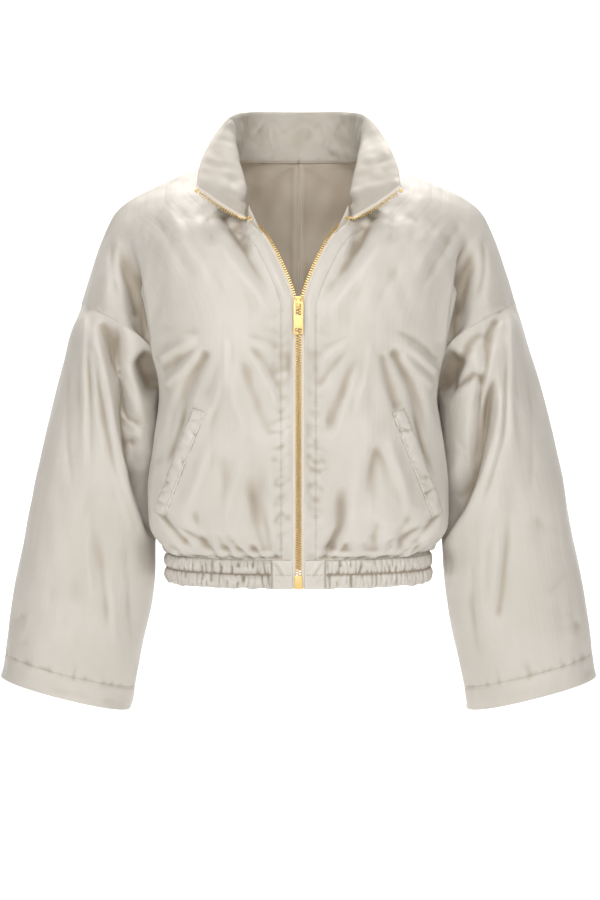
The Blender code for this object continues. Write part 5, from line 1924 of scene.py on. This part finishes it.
@dataclass
class Zip:
    """Tapes, teeth, stops, box, slider and pull."""

    form: JacketForm
    repeats: Repeats
    brass: Finish
    tape: Finish

    tape_width: float = 0.014     # in metres
    crown_size: tuple = (5.0, 1.4, 2.2, 2.4)     # half width, half depth, height above and below its middle
    crown_front: float = -126.3

    def tooth(self, way: int) -> Piece:
        """One tooth.

        Args:
            way: 1 for a head along Y, -1 for a head against it.

        Returns:
            The tooth; X runs along the chain and Z out of the front.
        """
        outline = [(x, way * y) for x, y in TOOTH_OUTLINE]
        small = [(0.66 * x, 0.82 * y) for x, y in outline]
        return turned_unit("tooth", [(-1.5, small), (-1.0, outline), (1.0, outline), (1.5, small)], 2)

    def build(self) -> None:
        """Build the zip."""
        path = ZipPath(self.form)
        for side in Side:
            self.side_tape(path, side)
            self.teeth(path, side)
        for node, width in (("zip_slider", 0.35), ("zip_box", 0.6), ("zip_stop_left", 0.7),
                            ("zip_stop_right", 0.7)):
            self.rounded(node, width)
        self.rounded("zip_pull", 0.35, "pull_tab")
        self.crown()

    def side_tape(self, path: ZipPath, side: Side) -> None:
        """Build one tape, with a bead at its edge.

        Args:
            path: The fold that it follows.
            side: Side of the wearer.
        """
        across = np.array((-2.6, -1.2, 0.2, 1.6, 3.0, 3.6))
        lift = np.array((-0.75, -0.75, -0.1, 0.0, 0.0, 0.0))
        outer, inner = (side.turn(path.ribbon(across, lift + half)) for half in (0.3, -0.3))
        node = f"zip_tape_{side.label}"
        piece = shell(node + "_cloth", outer, inner, [self.tape, self.tape])
        stand_for(piece, node)

    def teeth(self, path: ZipPath, side: Side) -> None:
        """Build one row of teeth, set half a pitch from the other one.

        Args:
            path: The fold that it follows.
            side: Side of the wearer.
        """
        keep = slice(int((path.points[:, 2] > BOX_TOP).sum()), 4, -1)
        line = path.ribbon((4.4,), (-0.2,))[keep, 0]
        tooth = self.tooth(side.value)
        line = stepped(side.turn(line), side.turn(path.normals[keep]), TOOTH_PITCH,
                       0.5 if side is Side.LEFT else 1.0)
        row = self.repeats.along(f"zip_teeth_{side.label}_row", [line], tooth, self.brass)
        row.data.shade_flat()
        stand_for(row, f"zip_teeth_{side.label}")
        bpy.data.objects.remove(tooth)

    def rounded(self, node: str, width: float, body: str = "jacket") -> None:
        """Stand a copy with rounded edges for a metal solid.

        Args:
            node: Name of the solid.
            width: Width of the rounding.
            body: The body it rides on.
        """
        work = bmesh.new()
        work.from_mesh(bpy.data.objects[node].data)
        bmesh.ops.remove_doubles(work, verts=work.verts, dist=1e-6)
        bmesh.ops.dissolve_limit(work, angle_limit=math.radians(2), verts=work.verts, edges=work.edges)
        edges = [edge for edge in work.edges
                 if edge.is_manifold and edge.calc_face_angle(0.0) > math.radians(28)]
        bmesh.ops.bevel(work, geom=edges, offset=width * MM, segments=3, profile=0.6, affect="EDGES",
                        clamp_overlap=True)
        piece = self.cast(node + "_brass", work)
        piece.data.set_sharp_from_angle(angle=math.radians(40))
        stand_for(piece, node, body)

    def cast(self, name: str, work: bmesh.types.BMesh) -> Piece:
        """Make a brass piece of a mesh that is being worked on.

        Args:
            name: Name of the piece.
            work: The mesh, which is freed.

        Returns:
            The piece.
        """
        mesh = bpy.data.meshes.new(name)
        work.to_mesh(mesh)
        work.free()
        mesh.materials.append(self.brass)
        mesh.shade_smooth()
        return place_object(name, mesh)

    def crown(self) -> None:
        """Domed head of the slider, above the pull."""
        work = bmesh.new()
        bmesh.ops.create_uvsphere(work, u_segments=32, v_segments=16, radius=1.0)
        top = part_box("zip_slider")[1].z
        width, depth, rise, drop = self.crown_size
        for point in work.verts:
            x, y, z = point.co
            point.co = (x * width * MM, (self.crown_front + y * depth) * MM,
                        top + (-rise + z * (rise if z > 0 else drop)) * MM)
        piece = self.cast("zip_slider_crown", work)
        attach(piece, "jacket")


@dataclass
class Thread:
    """Rows of stitches on the satin."""

    repeats: Repeats
    finish: Finish

    def sew(self, name: str, lines: list) -> None:
        """Sew one kind of piece's rows of stitches.

        Args:
            name: Name of the rows.
            lines: Points and facing directions of each row.
        """
        ends, middle = [(0.25 * a, 0.25 * b) for a, b in STITCH_OUTLINE], STITCH_OUTLINE
        stitch = turned_unit("stitch", [(-1.15, ends), (-0.8, middle), (0.8, middle), (1.15, ends)], 0)
        row = self.repeats.along(name, lines, stitch, self.finish)
        bpy.data.objects.remove(stitch)
        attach(row, "jacket")


# ---- studio

@dataclass(frozen=True)
class Lamp:
    """Soft square light; places and sizes are in metres."""

    name: str
    place: Triple
    target: Triple
    size: float
    watts: float

    def build(self) -> None:
        """Hang the light and point it at its target."""
        data = bpy.data.lights.new(self.name, "AREA")
        data.shape, data.size, data.energy = "SQUARE", self.size, self.watts
        lamp = place_object(self.name, data)
        lamp.location = self.place
        lamp.rotation_euler = (Vector(self.target) - Vector(self.place)).to_track_quat("-Z", "Y").to_euler()


@dataclass(frozen=True)
class Studio:
    """Pale floor that curves up into a backdrop, soft lights and the camera of the photograph, in metres."""

    white: Finish
    floor: float = -1.02
    wall: float = 3.6
    bend: float = 1.2
    half_width: float = 6.0
    front: float = -4.0
    top: float = 4.5

    def build(self) -> None:
        """Build the studio."""
        self.backdrop()
        for lamp in (Lamp("front_box", (-0.2, -3.0, 0.9), (0, 0, -0.3), 2.0, 59.0),
                     Lamp("left_box", (-2.0, -1.7, 1.4), (0, 0, -0.3), 1.2, 19.5),
                     Lamp("right_box", (2.0, -1.7, 1.4), (0, 0, -0.3), 1.2, 21.5),
                     Lamp("wall_box", (0.0, 1.9, 3.3), (0, 3.4, -0.6), 3.2, 260.0)):
            lamp.build()
        world = bpy.data.worlds.new("studio")
        bpy.context.scene.world = world
        world.use_nodes = True
        sky = world.node_tree.nodes["Background"]
        sky.inputs["Color"].default_value = (1.0, 0.99, 0.97, 1.0)
        sky.inputs["Strength"].default_value = 0.09
        data = bpy.data.cameras.new("camera")
        data.lens, data.shift_x, data.shift_y = 93.91, 0.00167, -0.1222
        camera = place_object("camera", data)
        camera.location = (0.0, -2.7, -0.193)
        camera.rotation_euler = (math.pi / 2, 0.0, 0.0)
        bpy.context.scene.camera = camera
        bpy.context.scene.view_settings.view_transform = "Standard"

    def backdrop(self) -> None:
        """Floor and wall in one sheet with a round corner, which only shows from its front."""
        profile = [(self.front, self.floor)]
        for turn in np.linspace(0, math.pi / 2, 13):
            profile.append((self.wall - self.bend + self.bend * math.sin(turn),
                            self.floor + self.bend - self.bend * math.cos(turn)))
        profile.append((self.wall, self.top))
        points = [(x, y, z) for y, z in profile for x in (-self.half_width, self.half_width)]
        faces = [(2 * i, 2 * i + 1, 2 * i + 3, 2 * i + 2) for i in range(len(profile) - 1)]
        mesh = bpy.data.meshes.new("backdrop")
        mesh.from_pydata(points, [], faces)
        mesh.materials.append(self.white)
        mesh.shade_smooth()
        nodes, tree = self.white.node_tree.nodes, Tree(self.white.node_tree)
        behind = tree.add("ShaderNodeNewGeometry").outputs["Backfacing"]
        clear = tree.add("ShaderNodeBsdfTransparent").outputs["BSDF"]
        cloth = nodes["Principled BSDF"].outputs[0]
        shown = tree.add("ShaderNodeMixShader", {0: behind, 1: cloth, 2: clear})
        tree.link(shown.outputs["Shader"], nodes["Material Output"].inputs["Surface"])
        place_object("backdrop", mesh)


def main() -> None:
    """Build the jacket's looks, the studio and the camera."""
    logging.basicConfig(level=logging.INFO, format="%(message)s")
    outside = Satin("satin", (0.62, 0.58, 0.525), (0.575, 0.533, 0.475)).material()
    # Lighter, warmer copy of the satin for the inside faces: painted light on the shaded inside.
    inside = Satin("satin_inside", (0.74, 0.66, 0.555), (0.62, 0.55, 0.46), roughness=0.58).material()
    # Darker copy of the satin: painted shade on the collar's inside face, the facings and the binding.
    painted_shade_satin = Satin("satin_lapel", (0.53, 0.485, 0.42), (0.47, 0.425, 0.365), roughness=0.58, crinkle=7.0,
                  streak=0.25).material()
    brass = Plain("brass", (0.84, 0.61, 0.26), 0.42, 1.0, (700.0, 0.02)).material()
    tape = Plain("zip_tape", (0.66, 0.61, 0.53), 0.8, grain=(1600.0, 0.08)).material()
    thread = Plain("thread", (0.38, 0.345, 0.285), 0.6).material()
    white = Plain("backdrop", (0.93, 0.93, 0.925), 0.9).material()
    satin = [outside, inside]
    form = JacketForm()
    LOG.info("form: front %s, sleeve %s, collar %s", form.front.points.shape, form.sleeve.points.shape,
             form.collar.points.shape)
    panels = Panels(form, satin)
    panels.build()
    sleeves = Sleeves(form, satin)
    sleeves.build()
    Collar(form, [outside, painted_shade_satin]).build()
    band = Band(satin)
    band.build()
    welts = Welts(panels, satin)
    welts.build()
    repeats = Repeats()
    sewing = Thread(repeats, thread)
    for name, maker in (("front", panels), ("sleeve", sleeves), ("band", band), ("welt", welts)):
        sewing.sew(f"{name}_stitches", maker.stitches)
    Zip(form, repeats, brass, tape).build()
    Studio(white).build()


if __name__ == "__main__":
    main()
